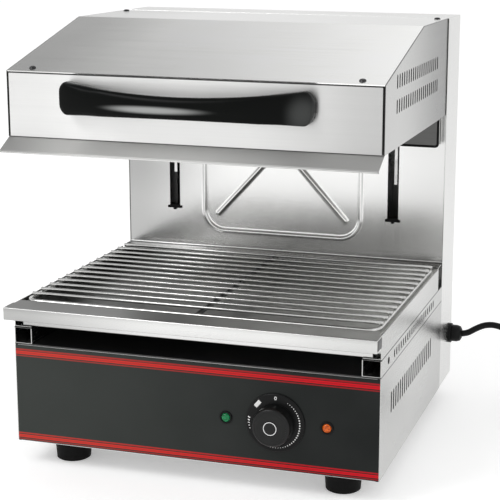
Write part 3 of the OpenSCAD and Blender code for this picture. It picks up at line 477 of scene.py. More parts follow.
class Finishes:
    """Every finish of the object, by its use."""

    # painted light and shade: the steel finishes are lit and shaded copies of one stainless sheet, and their falls make
    # faces brighter or darker along it
    STEEL_X = BrushedSteel(
        "steel_drawn_across", (0.77, 0.77, 0.762), 0.34, turn=0.25, anisotropy=0.8,
        seams=((2, 475.3, 478.0), (2, 401.0, 402.5), (0, 220.5, 224.0), (0, -224.0, -220.9)),
        fall=((0, 60.0, 222.0, 1.0, 0.68), (0, -222.0, -90.0, 0.86, 1.0)),
    )
    STEEL_Y = BrushedSteel(
        "steel_drawn_front_to_back", (0.54, 0.54, 0.53), grain=Grain.ALONG_Y, turn=0.25, streaks=0.04,
        seams=((2, 171.9, 173.5), (2, 151.7, 153.0)), fall=((1, -60.0, 150.0, 1.0, 0.76),), cut_shade=(1, -180.0),
    )
    # painted shade: the head's sides in a darker copy of the steel, darkening from front to back
    STEEL_HEAD = BrushedSteel(
        "steel_head_side", (0.46, 0.46, 0.452), grain=Grain.ALONG_Y, turn=0.25, streaks=0.04,
        seams=((1, -193.2, -191.9),), fall=((1, -140.0, 150.0, 0.97, 0.24),), cut_shade=(1, -180.0),
    )
    STEEL_Z = BrushedSteel(
        "steel_drawn_upright", (0.66, 0.66, 0.65), grain=Grain.ALONG_Z, streaks=0.04, clouding=0.08,
    )
    # painted light and shade: the column front in a lighter copy of the steel, darker at the left, the right and the
    # top
    STEEL_BEADED = BrushedSteel(
        "steel_beaded_sheet", (0.97, 0.97, 0.96), 0.23, Grain.ALONG_Z, 0.03, 0.2,
        relief=0.0000012, clouding=0.06, flank_shade=0.58, seams=((0, -223.8, -222.7),),
        fall=((0, -216.0, -50.0, 0.44, 1.0), (0, 110.0, 222.0, 1.0, 0.84), (2, 255.0, 315.0, 1.0, 0.86)),
    )
    # painted shade: the back plate in a near-black copy of the steel, with a painted highlight on its side fold
    STEEL_APRON = BrushedSteel(
        "steel_back_plate", (0.115, 0.115, 0.113), 0.34, streaks=0.2, clouding=0.35,
        fall=((0, 216.0, 216.9, 1.0, 7.0),),
    )
    # painted light and shade: the hood top lighter towards the middle and darker behind its fold
    STEEL_TOP = BrushedSteel(
        "steel_hood_top", (0.75, 0.75, 0.738), 0.22, anisotropy=0.0, streaks=0.1,
        seams=((0, 222.7, 224.0), (0, -224.0, -222.7)), fall=((0, -210.0, -70.0, 0.9, 1.33), (1, 2.0, 4.0, 1.0, 0.62)),
    )
    # painted light and shade: the flared lip darker at the left and at the right
    STEEL_LIP = BrushedSteel(
        "steel_flared_lip", (0.6, 0.6, 0.59), 0.7, anisotropy=0.0,
        fall=((0, -223.0, -120.0, 0.62, 1.0), (0, -20.0, 222.0, 0.96, 0.66)),
    )
    # painted shade: the tray in a dark copy of the steel, lighter towards the right
    STEEL_PAN = BrushedSteel(
        "steel_pan", (0.36, 0.36, 0.352), 0.34, anisotropy=0.0, streaks=0.1, clouding=0.15,
        fall=((0, -200.0, 20.0, 0.45, 0.8), (0, 0.0, 60.0, 1.0, 1.6), (0, 60.0, 200.0, 1.0, 1.5)),
    )
    # painted light: a lighter copy of the tray steel for the pull lip and the pan front laid over it
    STEEL_PULL = BrushedSteel(
        "steel_pull_lip", (0.7, 0.7, 0.69), turn=0.25,
        fall=((0, -222.0, -20.0, 0.6, 1.0), (0, 90.0, 222.0, 1.0, 0.84)),
    )
    # painted shade: the deck under the tray in a near-black copy of the steel
    STEEL_DECK = BrushedSteel("steel_deck", grey(0.09), 0.5, anisotropy=0.0)
    INNER = BrushedSteel("steel_inner_mill_finish", (0.4, 0.4, 0.395), 0.42, Grain.ALONG_Y, anisotropy=0.0)
    DARK = BrightMetal("dark_steel", (0.12, 0.12, 0.122), 0.36, 0.05, 90.0)
    SCREW = BrightMetal("screw_head", (0.05, 0.05, 0.051), 0.26, 0.05, 300.0)
    WIRE = BrightMetal("grate_wire", (0.64, 0.64, 0.63), 0.24, 0.03, 180.0)
    # painted shade: the middle bar in a dark copy of the wire metal
    BAR = BrightMetal("middle_bar_shaded_wire", grey(0.1), 0.3, 0.05, 160.0)
    CHROME = BrightMetal("chrome", grey(0.82), 0.07, 0.02, 120.0)
    ARM = BrightMetal("lift_arm_steel", (0.7, 0.7, 0.69), 0.28, 0.05, 50.0)
    REFLECTOR = BrightMetal("reflector_sheet", (0.72, 0.71, 0.69), 0.2, 0.06, 24.0)
    HEM = BrightMetal("bright_hem", (0.8, 0.8, 0.79), 0.2, 0.03, 90.0)
    # painted shade: dark plates that stand in for the shade at the pull lip's open ends
    SHADE_TAB = BrightMetal("shade_tab", grey(0.1), 0.45, 0.05, 120.0)
    BRASS = BrightMetal("brass", (0.7, 0.5, 0.22), 0.25, 0.05, 200.0)
    OVERLAY = PrintedSheet("printed_overlay")
    HANDLE = Moulding(
        "handle_plastic", (0.003, 0.0034, 0.0032), 0.24, 1500.0, 0.00001, (0.004, 0.0045, 0.004), 0.05,
        # painted highlights: a streak on the grip and lighter patches on the pads
        painted_highlights=(
            ((-30.0, -231.0, 445.0), (90.0, 18.0, 6.4), (0.3, 0.305, 0.3)),
            ((-124.0, -208.0, 471.0), (38.0, 20.0, 6.0), (0.11, 0.112, 0.11)),
            ((134.0, -208.0, 445.0), (32.0, 20.0, 32.0), (0.048, 0.05, 0.049)),
        ),
    )
    KNOB = Moulding("knob_plastic", (0.005, 0.0053, 0.0052), 0.3, 1800.0, 0.00001, grey(0.009), 0.25)
    KNOB_FACE = Moulding("knob_face_plastic", (0.009, 0.0093, 0.009), 0.3, 1800.0, 0.00001, grey(0.016), 0.2)
    DIAL = Moulding("dial_plastic", (0.004, 0.0042, 0.0042), 0.34, 1800.0, 0.00001, grey(0.008), 0.15)
    MARKS = Moulding("dial_print", (0.72, 0.72, 0.71), 0.45, 1200.0, 0.000005, (0.62, 0.62, 0.61))
    BLACK = Moulding("black_plastic", (0.004, 0.004, 0.0043), 0.38, 1100.0, 0.00003, grey(0.008), 0.14)
    RUBBER = Moulding("black_rubber", grey(0.004), 0.6, 900.0, 0.00005, grey(0.01), 0.1)
    JACKET = Moulding("lead_jacket", (0.005, 0.005, 0.0053), 0.42, 1600.0, 0.00002, grey(0.01), 0.16)
    SEAL = Moulding("apron_edging", grey(0.004), 0.5, 900.0, 0.00003, grey(0.01), 0.12)
    # painted shade: near-black sheets behind the vents that stand in for the shade seen through them
    VENT_SHADE = Moulding("vent_shade_liner", grey(0.005), 0.8, 700.0, 0.00004, grey(0.009), 0.05)
    WHITE = Moulding("white_plastic", (0.78, 0.77, 0.73), 0.4, 900.0, 0.00002, (0.66, 0.64, 0.58), 0.5)
    GREEN = LampLens("green_lens", (0.001, 0.17, 0.055), (0.0, 0.065, 0.02), 0.25)
    AMBER = LampLens("amber_lens", (0.5, 0.09, 0.004), (0.22, 0.03, 0.001), 0.35)
    SHEATH = HeaterSheath("heater_sheath")
    WOOL = MineralWool("mineral_wool")


# Meshes


def fillet(points: Sequence[Point], radius: float, steps: int = 4) -> list[Vector]:
    """Round the inner corners of an open line.

    Args:
        points: the line's corners.
        radius: how far from each corner the curve starts.
        steps: pieces of each curve.

    Returns:
        The rounded line.
    """
    line = [Vector(p) for p in points]
    result = [line[0]]
    for before, corner, after in zip(line, line[1:], line[2:]):
        arms = (before - corner, after - corner)
        start, end = (corner + arm.normalized() * min(radius, arm.length * 0.45) for arm in arms)
        for t in (i / steps for i in range(steps + 1)):
            result.append(start * (1 - t) ** 2 + corner * (2 * t * (1 - t)) + end * t**2)
    return result + [line[-1]]


def smooth_line(points: Sequence[Point], steps: int) -> list[Vector]:
    """Run a smooth line through points, as an even Catmull-Rom curve.

    Args:
        points: the points that it passes.
        steps: pieces between two points.

    Returns:
        The line's points.
    """
    line = [Vector(p) for p in points]
    ends = [line[0] * 2 - line[1], *line, line[-1] * 2 - line[-2]]
    result = []
    for a, b, c, d in zip(ends, ends[1:], ends[2:], ends[3:]):
        square, cube = 2 * a - 5 * b + 4 * c - d, 3 * b - a - 3 * c + d
        result += [0.5 * (2 * b + (c - a) * t + square * t**2 + cube * t**3) for t in (i / steps for i in range(steps))]
    return result + [line[-1]]


def rounded_box(half_wide: float, half_high: float, corner: float, steps: int = 5) -> list[Flat]:
    """Outline of a rectangle with round corners, about its middle.

    Args:
        half_wide: half of its width.
        half_high: half of its height.
        corner: radius of its corners.
        steps: pieces of each corner.

    Returns:
        The outline's points.
    """
    points = []
    for sx, sy, start in ((1, 1, 0), (-1, 1, 90), (-1, -1, 180), (1, -1, 270)):
        for angle in (math.radians(start + 90 * k / steps) for k in range(steps + 1)):
            x, y = corner * math.cos(angle), corner * math.sin(angle)
            points.append((sx * (half_wide - corner) + x, sy * (half_high - corner) + y))
    return points


def add(name: str, data: bpy.types.ID) -> bpy.types.Object:
    """Put an object with this mesh, curve, light or camera in the scene."""
    made = bpy.data.objects.new(name, data)
    bpy.context.scene.collection.objects.link(made)
    return made


def add_piece(
    name: str, data: bpy.types.ID, body: Optional[str], replaced: Sequence[str] = ()
) -> bpy.types.Object:
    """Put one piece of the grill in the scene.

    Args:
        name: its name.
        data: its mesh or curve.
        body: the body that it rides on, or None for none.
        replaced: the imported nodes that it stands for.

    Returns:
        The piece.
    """
    piece = add(name, data)
    if body is not None:
        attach(piece, body)
    if replaced:
        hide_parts(*replaced)
    LOG.info("%s: made", name)
    return piece


class Form:
    """A mesh that is being made, in metres in the object's frame."""

    def __init__(self, name: str) -> None:
        """Start an empty mesh."""
        self.name = name
        self.mesh = bmesh.new()
        self.rows: list[list[bmesh.types.BMVert]] = []

    def ring(self, points: Sequence[Any]) -> list[bmesh.types.BMVert]:
        """Add points."""
        return [self.mesh.verts.new(p) for p in points]

    def bridge(self, first: list, second: list, closed: bool = True) -> None:
        """Join two rows of points of one length with faces.

        Args:
            first: the first row.
            second: the second row.
            closed: whether each row is a loop.
        """
        count = len(first)
        for i in range(count if closed else count - 1):
            j = (i + 1) % count
            corners = tuple(dict.fromkeys((first[i], first[j], second[j], second[i])))
            if len(corners) > 2:
                self.mesh.faces.new(corners)

    def loft(self, rings: Sequence[Sequence[Any]], caps: Sequence[int] = BOTH, closed: bool = True) -> "Form":
        """Run a skin over rings of points.

        Args:
            rings: the rings in order, all of one length.
            caps: the ends to close, of FIRST and LAST.
            closed: whether each ring is a loop.

        Returns:
            This form. Its rows are the rings' vertices.
        """
        self.rows = [self.ring(r) for r in rings]
        for first, second in zip(self.rows, self.rows[1:]):
            self.bridge(first, second, closed)
        for cap in caps:
            self.mesh.faces.new(self.rows[LAST] if cap == LAST else reversed(self.rows[FIRST]))
        return self

    def turned(self, profile: Sequence[Flat], centre: Point, sides: int = 96) -> "Form":
        """Turn a profile round an axis that points to the front; it starts and ends there, or is a closed wall.

        Args:
            profile: (radius, distance along the axis) pairs in millimetres.
            centre: where distance 0 is, in millimetres.
            sides: faces round it.

        Returns:
            This form.
        """
        along = Vector((0, -1, 0))
        side = along.orthogonal().normalized()
        up = along.cross(side)
        rows = []
        for radius, distance in (mm(*p) for p in profile):
            middle = Vector(mm(*centre)) + along * distance
            if radius < TINY:
                rows.append(self.ring([middle]) * sides)
            else:
                rows.append(self.ring([middle + (side * c + up * s) * radius for c, s in circle(sides)]))
        for first, second in zip(rows, rows[1:]):
            self.bridge(first, second)
        if profile[0][0] and profile[0] == profile[-1]:
            bmesh.ops.remove_doubles(self.mesh, verts=rows[0] + rows[-1], dist=TINY)
        return self

    def swept(
        self, path: Sequence[Any], radius: Union[float, list[float]], sides: int = 16, closed: bool = False
    ) -> "Form":
        """Run a round bar along a path.

        Args:
            path: its middle line.
            radius: its radius in millimetres, or one for each point.
            sides: faces round it.
            closed: whether the path is a loop.

        Returns:
            This form.
        """
        line = [Vector(p) for p in path]
        count = len(line)
        radii = radius if isinstance(radius, list) else [radius] * count
        normal = (line[1] - line[0]).orthogonal().normalized()
        rings = []
        for i, point in enumerate(line):
            if closed:
                heading = line[(i + 1) % count] - line[i - 1]
            else:
                heading = line[min(i + 1, count - 1)] - line[max(i - 1, 0)]
            heading.normalize()
            normal = (normal - heading * normal.dot(heading)).normalized()
            other = heading.cross(normal)
            rings.append([point + (normal * c + other * s) * (radii[i] * MM) for c, s in circle(sides)])
        self.loft(rings, () if closed else BOTH)
        if closed:
            last, first = self.rows[-1], self.rows[0]
            shift = min(range(sides), key=lambda k: (last[k].co - first[0].co).length)
            self.bridge(last[shift:] + last[:shift], first)
        return self

    def data(self, material: bpy.types.Material, angle: float) -> bpy.types.Mesh:
        """Close the form.

        Args:
            material: its material.
            angle: edges sharper than this, in degrees, stay crisp.

        Returns:
            The mesh.
        """
        bmesh.ops.recalc_face_normals(self.mesh, faces=self.mesh.faces)
        data = bpy.data.meshes.new(self.name)
        self.mesh.to_mesh(data)
        self.mesh.free()
        data.materials.append(material)
        data.shade_smooth()
        data.set_sharp_from_angle(angle=math.radians(angle))
        return data

    def done(
        self, finish: Finish, slot: str, body: Optional[str], replaced: Sequence[str] = (), angle: float = 60.0
    ) -> bpy.types.Object:
        """Turn the mesh into a piece; the arguments are those of data and add_piece, and slot is not used."""
        return add_piece(self.name, self.data(finish.material(), angle), body, replaced)


def dress(node: str, finish: Finish, edge: float = 0.0) -> None:
    """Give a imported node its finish, and a fine rounding along its edges.

    Args:
        node: the node's name.
        finish: its finish.
        edge: how wide the rounding is, in millimetres, or 0 for none.
    """
    piece = frame["nodes"][node]
    piece.material_slots[0].material = finish.material()
    if edge:
        piece.modifiers.new("weld", "WELD").merge_threshold = WELD
        bevel = piece.modifiers.new("edges", "BEVEL")
        bevel.width, bevel.segments = edge * MM, 2
        bevel.limit_method, bevel.angle_limit = "ANGLE", EDGE_ANGLE
    LOG.info("%s: dressed in %s", node, finish.name)


# The object


@dataclass
class PowerLead:
    """Mains lead in one length: out of the gland, down to the floor, into a coil, to its plug."""

    diameter: float = 8.5
    length: float = 1.573
    gland_end: Point = (243.0, 214.0, 91.0)
    run: tuple[Point, ...] = (
        (252, 214, 93.5), (262, 214, 99.5), (273, 214, 105), (285, 214, 107), (297, 214, 105), (309, 214, 99),
        (319, 214, 90), (327, 214, 78), (333, 214, 64), (338.5, 214, 49.5), (344.5, 214, 35.5), (352, 214, 23),
        (362, 214, 13), (374, 214, 7), (387, 214, 4.6),
    )
    coil_centre: Flat = (395.0, 155.4)
    # turns done, radius, height of the middle line
    coil: tuple[Point, ...] = (
        (0.0, 58.6, 4.4), (0.82, 58.6, 4.4), (1.0, 50.0, 4.4), (1.82, 50.0, 4.4), (2.0, 41.4, 4.4), (2.6, 41.4, 4.4),
        (2.82, 41.4, 13.0), (3.32, 41.4, 13.0), (3.8, 50.0, 13.0), (4.25, 50.0, 13.0),
    )
    steps_in_turn: int = 16
    tail: tuple[Point, ...] = ((445, 142, 13), (443, 129, 14), (440, 116, 16), (437, 104, 18), (435, 92, 19.2))
    # the plug's profile, as radius and distance from its tip: nose, ribs of the strain relief, shoulder, ribs, back
    nose: tuple[Flat, ...] = ((0.0, 0.0), (5.4, 0.0), (5.7, 0.8))
    relief_ribs: int = 6
    relief_rib: tuple[Flat, ...] = ((-0.9, 0.0), (-0.9, 0.8), (0.1, 1.1), (0.2, 2.6))
    shoulder: tuple[Flat, ...] = ((9.2, 20.6), (11.6, 23.4), (14.6, 27.2), (16.6, 31.6), (17.6, 36.0), (18.0, 40.0))
    grip_ribs: int = 4
    grip_rib: tuple[Flat, ...] = ((18.1, 0.0), (17.4, 0.5), (17.4, 1.0), (18.3, 1.5))
    plug_back: tuple[Flat, ...] = ((18.9, 50.6), (18.95, 54.2), (18.5, 55.4), (17.4, 56.0), (0.0, 56.0))

    def coil_points(self) -> list[Point]:
        """Points of the coil, clockwise from above, from its far side.

        Returns:
            The points, in millimetres.
        """
        points = []
        for turn in (i / self.steps_in_turn for i in range(round(self.coil[-1][0] * self.steps_in_turn) + 1)):
            for (t0, r0, z0), (t1, r1, z1) in zip(self.coil, self.coil[1:]):
                if t0 <= turn <= t1:
                    share = ease((turn - t0) / (t1 - t0))
                    radius, height = r0 + (r1 - r0) * share, z0 + (z1 - z0) * share
            angle = math.pi / 2 - 2 * math.pi * turn
            x, y = self.coil_centre
            points.append((x + radius * math.cos(angle), y + radius * math.sin(angle), height))
        return points

    def cable(self) -> bpy.types.Object:
        """The cable, as one curve.

        Returns:
            The curve's object.
        """
        points = smooth_line([mm(*p) for p in (self.gland_end, *self.run, *self.coil_points(), *self.tail)], 4)
        curve = bpy.data.curves.new("power_cable", "CURVE")
        curve.dimensions = "3D"
        curve.bevel_depth = self.diameter / 2 * MM
        curve.bevel_resolution = 5
        curve.use_fill_caps = True
        spline = curve.splines.new("POLY")
        spline.points.add(len(points) - 1)
        for target, point in zip(spline.points, points):
            target.co = (*point, 1.0)
        spline.use_smooth = True
        curve.materials.append(Finishes.JACKET.material())
        return add_piece("power_cable", curve, "root", ("mains_lead", "lead_coil"))

    def plug(self) -> bpy.types.Object:
        """Moulded round plug with a ribbed, tapered strain relief.

        Returns:
            The plug.
        """
        profile = [*self.nose]
        for i in range(self.relief_ribs):
            start, radius = 1.6 + 3.0 * i, 5.8 + 0.42 * i
            profile += [(radius + r, start + d) for r, d in self.relief_rib]
        profile += self.shoulder
        for i in range(self.grip_ribs):
            start = 41.0 + 2.2 * i
            profile += [(r, start + d) for r, d in self.grip_rib]
        form = Form("moulded_plug").turned([*profile, *self.plug_back], self.tail[-1], 72)
        return form.done(Finishes.BLACK, "black_rubber", "root", ["mains_plug"], 50)

    def build(self) -> None:
        """Make the cable and the plug, and dress the gland and the pins."""
        cable = self.cable()
        plug = self.plug()
        dress("gland_body", Finishes.BLACK, 0.5)
        dress("gland_nut", Finishes.BLACK, 0.4)
        dress("plug_pins", Finishes.CHROME)
        mm(*self.gland_end)


@dataclass
class PackedParts:
    """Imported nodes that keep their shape, with their finish and the rounding of their edges in millimetres."""

    parts: tuple[tuple[Finish, float, str], ...] = (
        (Finishes.INNER, 0.0, "base_floor lift_guides"),
        (Finishes.INNER, 0.2, "tube_clamps"),
        (Finishes.INNER, 0.3, "spring_bar"),
        (Finishes.STEEL_X, 0.0, "front_panel head_front"),
        (Finishes.STEEL_Y, 0.0, "side_panel_left side_panel_right"),
        (Finishes.STEEL_Y, 0.4, "rail_left rail_right"),
        (Finishes.STEEL_Y, 0.3, "skirt_left skirt_right"),
        (Finishes.STEEL_Z, 0.5, "column_shell"),
        (Finishes.STEEL_Z, 0.0, "back_cover"),
        (Finishes.STEEL_DECK, 0.0, "deck_plate"),
        (Finishes.STEEL_TOP, 0.0, "hood_top"),
        (Finishes.STEEL_HEAD, 0.0, "head_side_left head_side_right"),
        (Finishes.STEEL_APRON, 0.0, "head_apron"),
        (Finishes.STEEL_PAN, 0.3, "drip_tray"),
        (Finishes.OVERLAY, 0.25, "control_overlay"),
        (Finishes.SCREW, 0.0, "rail_screws back_screws foot_screws handle_screws hood_screws"),
        (Finishes.RUBBER, 0.4, "slot_bumpers"),
        (Finishes.RUBBER, 0.0, "feet"),
        (Finishes.WHITE, 0.5, "regulator_body"),
        (Finishes.WHITE, 0.3, "terminal_block"),
        (Finishes.WHITE, 0.3, "roller_upper_left roller_upper_right roller_lower_left roller_lower_right"),
        (Finishes.JACKET, 0.0, "wiring"),
        (Finishes.BRASS, 0.2, "regulator_shaft"),
        (Finishes.REFLECTOR, 0.0, "reflector"),
        (Finishes.WOOL, 1.5, "insulation"),
        (Finishes.SHEATH, 0.0, "heating_tubes"),
        (Finishes.ARM, 0.25, "lift_carriage"),
    )

    def build(self) -> None:
        """Dress each of them."""
        for finish, edge, nodes in self.parts:
            for node in nodes.split():
                dress(node, finish, edge)


@dataclass
class LiftHandle:
    """Moulded handle in millimetres: two pads on the head's front, and a grip that bows clear of it."""

    length: float = 300.0
    reach: float = 40.0
    pad_height: float = 40.0
    pad_depth: float = 15.0
    grip_height: float = 25.0
    grip_depth: float = 15.0
    offset: float = -2.5
    panel_y: float = -192.75
    middle_z: float = 451.0
    # the gap behind the grip: share of the half length where it ends, and over which it closes
    gap: Flat = (0.8, 0.2)
    # how depth and height round off at the ends: share where that starts, power, square of the least
    depth_end: Point = (0.98, 2.0, 0.1)
    height_end: Point = (0.92, 2.2, 0.08)
    rings: int = 176
    sides: int = 60

    @staticmethod
    def rounding(out: float, start: float, power: float, least: float) -> float:
        """Share of a size that is left at a share of the half length; least is the square of the smallest."""
        return math.sqrt(max(1 - ((out - start) / (1 - start)) ** power, least)) if out > start else 1.0

    def ring(self, share: float) -> list[tuple[float, ...]]:
        """Work out one cross section.

        Args:
            share: where along the handle it is, from -1 to 1.

        Returns:
            Its points.
        """
        out = abs(math.sin(math.pi / 2 * share))
        neck = 1 - out * out
        front = self.pad_depth + (self.reach - self.pad_depth) * neck**0.8
        back = (front - self.grip_depth) * ease((self.gap[0] - out) / self.gap[1])
        front *= self.rounding(out, *self.depth_end)
        tip = self.rounding(out, *self.height_end)
        waist = self.pad_height - self.grip_height
        top = self.pad_height / 2 - neck * waist * 0.75
        bottom = neck * waist * 0.25 - self.pad_height / 2
        square = 0.45 + 0.45 * neck**1.5
        x = self.offset + math.copysign(out, share) * self.length / 2
        points = []
        for wide, high in circle(self.sides):
            wide, high = (math.copysign(abs(v) ** square, v) for v in (wide, high))
            y = min(-back, 0.3 - (front + back) / 2 - wide * (front - back + 0.6) / 2)
            z = (top + bottom) / 2 + high * tip * (top - bottom) / 2
            points.append(mm(x, self.panel_y + y, self.middle_z + z))
        return points

    def build(self) -> None:
        """Loft the handle."""
        form = Form("moulded_handle").loft([self.ring(2 * i / self.rings - 1) for i in range(self.rings + 1)])
        form.done(Finishes.HANDLE, "black_plastic", "head", ["lift_handle"], 50)


@dataclass
class Controls:
    """Dial knob and two pilot lamps, in millimetres; distances run out from the printed sheet."""

    sheet_y: float = -195.05
    knob: Flat = (102.5, 88.0)
    lamp_x: Flat = (42.5, 163.5)
    dial_radius: float = 35.0
    dial_face: float = 3.5
    dial_fall: float = 0.8
    dial_edge: float = 1.6
    grip_radius: float = 23.5
    grip_length: float = 18.5
    cap_radius: float = 8.5
    # profiles: how far in from the radius and down from the top each point is
    grip_edge: tuple[Flat, ...] = (
        (0.5, 4.6), (0.75, 3.4), (1.3, 2.2), (2.2, 1.2), (3.3, 0.62), (3.9, 0.5), (4.3, 0.52), (4.8, 0.4), (5.2, 1.5),
    )
    plate_edge: tuple[Flat, ...] = ((4.9, 1.6), (4.75, 0.6), (5.2, 0.32), (9, 0.05))
    plate_hole: tuple[Flat, ...] = ((-0.6, 0), (-0.2, 0.2), (-0.1, 1))
    cap_ring: tuple[Flat, ...] = (
        (1.5, 0.9), (1.5, -0.35), (1.35, -0.6), (1.0, -0.7), (0.6, -0.6), (0.4, -0.1), (0.4, 0.9), (1.5, 0.9),
    )
    cap_face: tuple[Flat, ...] = ((1.5, 0.9), (1.5, -0.1), (2.4, -0.2))
    # profiles of the lamps: radius and distance from the sheet
    lens: tuple[Flat, ...] = ((0, -24), (4.8, -24), (5.0, -23.6), (5.0, -2.4), (5.2, -2.0), (5.2, 0.8))
    rim: tuple[Flat, ...] = (
        (5.4, 0.0), (5.4, 1.3), (5.7, 1.8), (6.4, 2.0), (7.1, 1.8), (7.6, 1.2), (7.6, 0.0), (5.4, 0.0),
    )
    # the nought: its middle, right and up from the dial's, and the half sizes of its outer and inner oval
    nought: tuple[Flat, ...] = ((0.6, 30.0), (1.5, 2.1), (0.75, 1.3))
    # the dots: how many, distance from the dial's middle, direction of the first, and the arc that they take up
    dots: int = 31
    dot_ring: float = 29.6
    dot_first: float = 90 - 31
    dot_arc: float = 177
    # direction in degrees, distance from the dial's middle, width, height and lean of the four-sided marks
    block: tuple[float, ...] = (134.0, 29.8, 8.8, 4.6, 6)
    ticks: tuple[float, ...] = (172, 178, 184, 190, 196)
    tick_ring: float = 31.4
    tick_lean: float = -20

    def turn(
        self, name: str, profile: Sequence[Flat], x: float, finish: Finish, slot: str, body: str, *nodes: str
    ) -> None:
        """Turn a profile of (radius, distance from the sheet) pairs into a piece, round an axis at x."""
        Form(name).turned(profile, (x, self.sheet_y, self.knob[1])).done(finish, slot, body, nodes, 32)

    def dial_height(self, radius: float) -> float:
        """How far the dial's sloping face stands out.

        Args:
            radius: distance from the dial's middle.

        Returns:
            The distance from the sheet.
        """
        inner, outer = self.grip_radius + 1, self.dial_radius - self.dial_edge
        if radius > outer:
            return self.dial_face - self.dial_fall - self.dial_fall * (radius - outer) / self.dial_edge
        return self.dial_face - self.dial_fall * (radius - inner) / (outer - inner)

    def mark(self, form: Form, outline: Sequence[Flat], hole: Sequence[Flat] = ()) -> None:
        """Lay one printed mark on the dial.

        Args:
            form: the mesh that it goes into.
            outline: its points, right and up from the dial's middle.
            hole: the points of a hole in it, as many as the outline has.
        """
        rows = []
        for sunk, points in ((0.15, outline), (-0.08, outline), (-0.08, hole), (0.15, hole)):
            heights = [self.dial_height(math.hypot(*point)) - sunk for point in points]
            places = zip(points, heights)
            rows.append([mm(self.knob[0] + x, self.sheet_y - out, self.knob[1] + z) for (x, z), out in places])
        form.loft([row for row in rows if row], () if hole else BOTH)

    def four_sided(self, form: Form, degrees: float, radius: float, wide: float, high: float, lean: float) -> None:
        """Lay a four-sided mark on the dial.

        Args:
            form: the mesh that it goes into.
            degrees: its direction from the dial's middle.
            radius: how far out its middle is.
            wide: its size round the dial.
            high: its size outwards.
            lean: how far it is turned from the radius, in degrees.
        """
        out, turned = math.radians(degrees), math.radians(degrees + lean)
        x, y, c, s = radius * math.cos(out), radius * math.sin(out), math.cos(turned), math.sin(turned)
        corners = [(a * high / 2, b * wide / 2) for a, b in ((-1, -1), (-1, 1), (1, 1), (1, -1))]
        self.mark(form, [(x + along * c - across * s, y + along * s + across * c) for along, across in corners])

    def marks(self) -> None:
        """Print the dial: a nought at the top, dots that grow clockwise, a block and five ticks."""
        form = Form("dial_marks")
        turns = circle(24)
        (x, y), *ovals = self.nought
        self.mark(form, *([(x + wide * c, y + high * s) for c, s in turns] for wide, high in ovals))
        for i in range(self.dots):
            angle = math.radians(self.dot_first - self.dot_arc * i / (self.dots - 1))
            size = 0.42 + 0.5 * math.sin(math.pi * min(i / 24, 1.0)) ** 1.2
            x, y = self.dot_ring * math.cos(angle), self.dot_ring * math.sin(angle)
            self.mark(form, [(x + size * c, y + size * s) for c, s in turns[::2]])
        self.four_sided(form, *self.block)
        for i, degrees in enumerate(self.ticks):
            self.four_sided(form, degrees, self.tick_ring, 1.5 - 0.18 * i, 2.9 - 0.4 * i, self.tick_lean)
        form.done(Finishes.MARKS, "black_plastic", "knob", (), 40)

    def build(self) -> None:
        """Make the dial, its marks, the grip with its cap, and the lamps."""
        edge, face, top = self.dial_radius, self.dial_face, self.dial_face + self.grip_length
        grip, plate = ([(self.grip_radius - r, top - d) for r, d in p] for p in (self.grip_edge, self.plate_edge))
        hole, ring, cap = (
            [(self.cap_radius - r, top - d) for r, d in p] for p in (self.plate_hole, self.cap_ring, self.cap_face)
        )
        dial = [
            (0, 0.45), (edge - 0.3, 0.45), (edge, 0.75), (edge, face - 1.7), (edge - 0.3, face - 1.35),
            (edge - 1.3, face - 0.86), (edge - 1.7, face - 0.79), (self.grip_radius + 1, face), (0, face),
        ]
        body = [(0, face - 0.05), (self.grip_radius, face), *grip, (0, top - 1.5)]
        for name, profile, finish, slot, nodes in (
            ("dial", dial, Finishes.DIAL, "black_plastic", ("dial_skirt",)),
            ("knob_body", body, Finishes.KNOB, "black_plastic", ("knob_grip",)),
            ("knob_face", [(0, top - 1.6), *plate, *hole, (0, top - 1)], Finishes.KNOB_FACE, "black_plastic", ()),
            ("cap_ring", ring, Finishes.CHROME, "bright", ("knob_cap",)),
            ("cap_face", [(0, top - 0.9), *cap, (0, top + 0.28)], Finishes.KNOB, "black_plastic", ()),
        ):
            self.turn(name, profile, self.knob[0], finish, slot, "knob", *nodes)
            if name == "dial":
                self.marks()
        lens = [*self.lens, *((5.2 * c, 0.8 + 3.2 * s) for c, s in circle(36)[1:9]), (0, 4.0)]
        for colour, place, finish, nodes in (
            ("green", self.lamp_x[0], Finishes.GREEN, ("lamp_bezels",)), ("amber", self.lamp_x[1], Finishes.AMBER, ()),
        ):
            self.turn(f"{colour}_dome", lens, place, finish, f"{colour}_lens", "root", f"{colour}_lamp")
            self.turn(f"{colour}_rim", self.rim, place, Finishes.BLACK, "black_plastic", "root", *nodes)


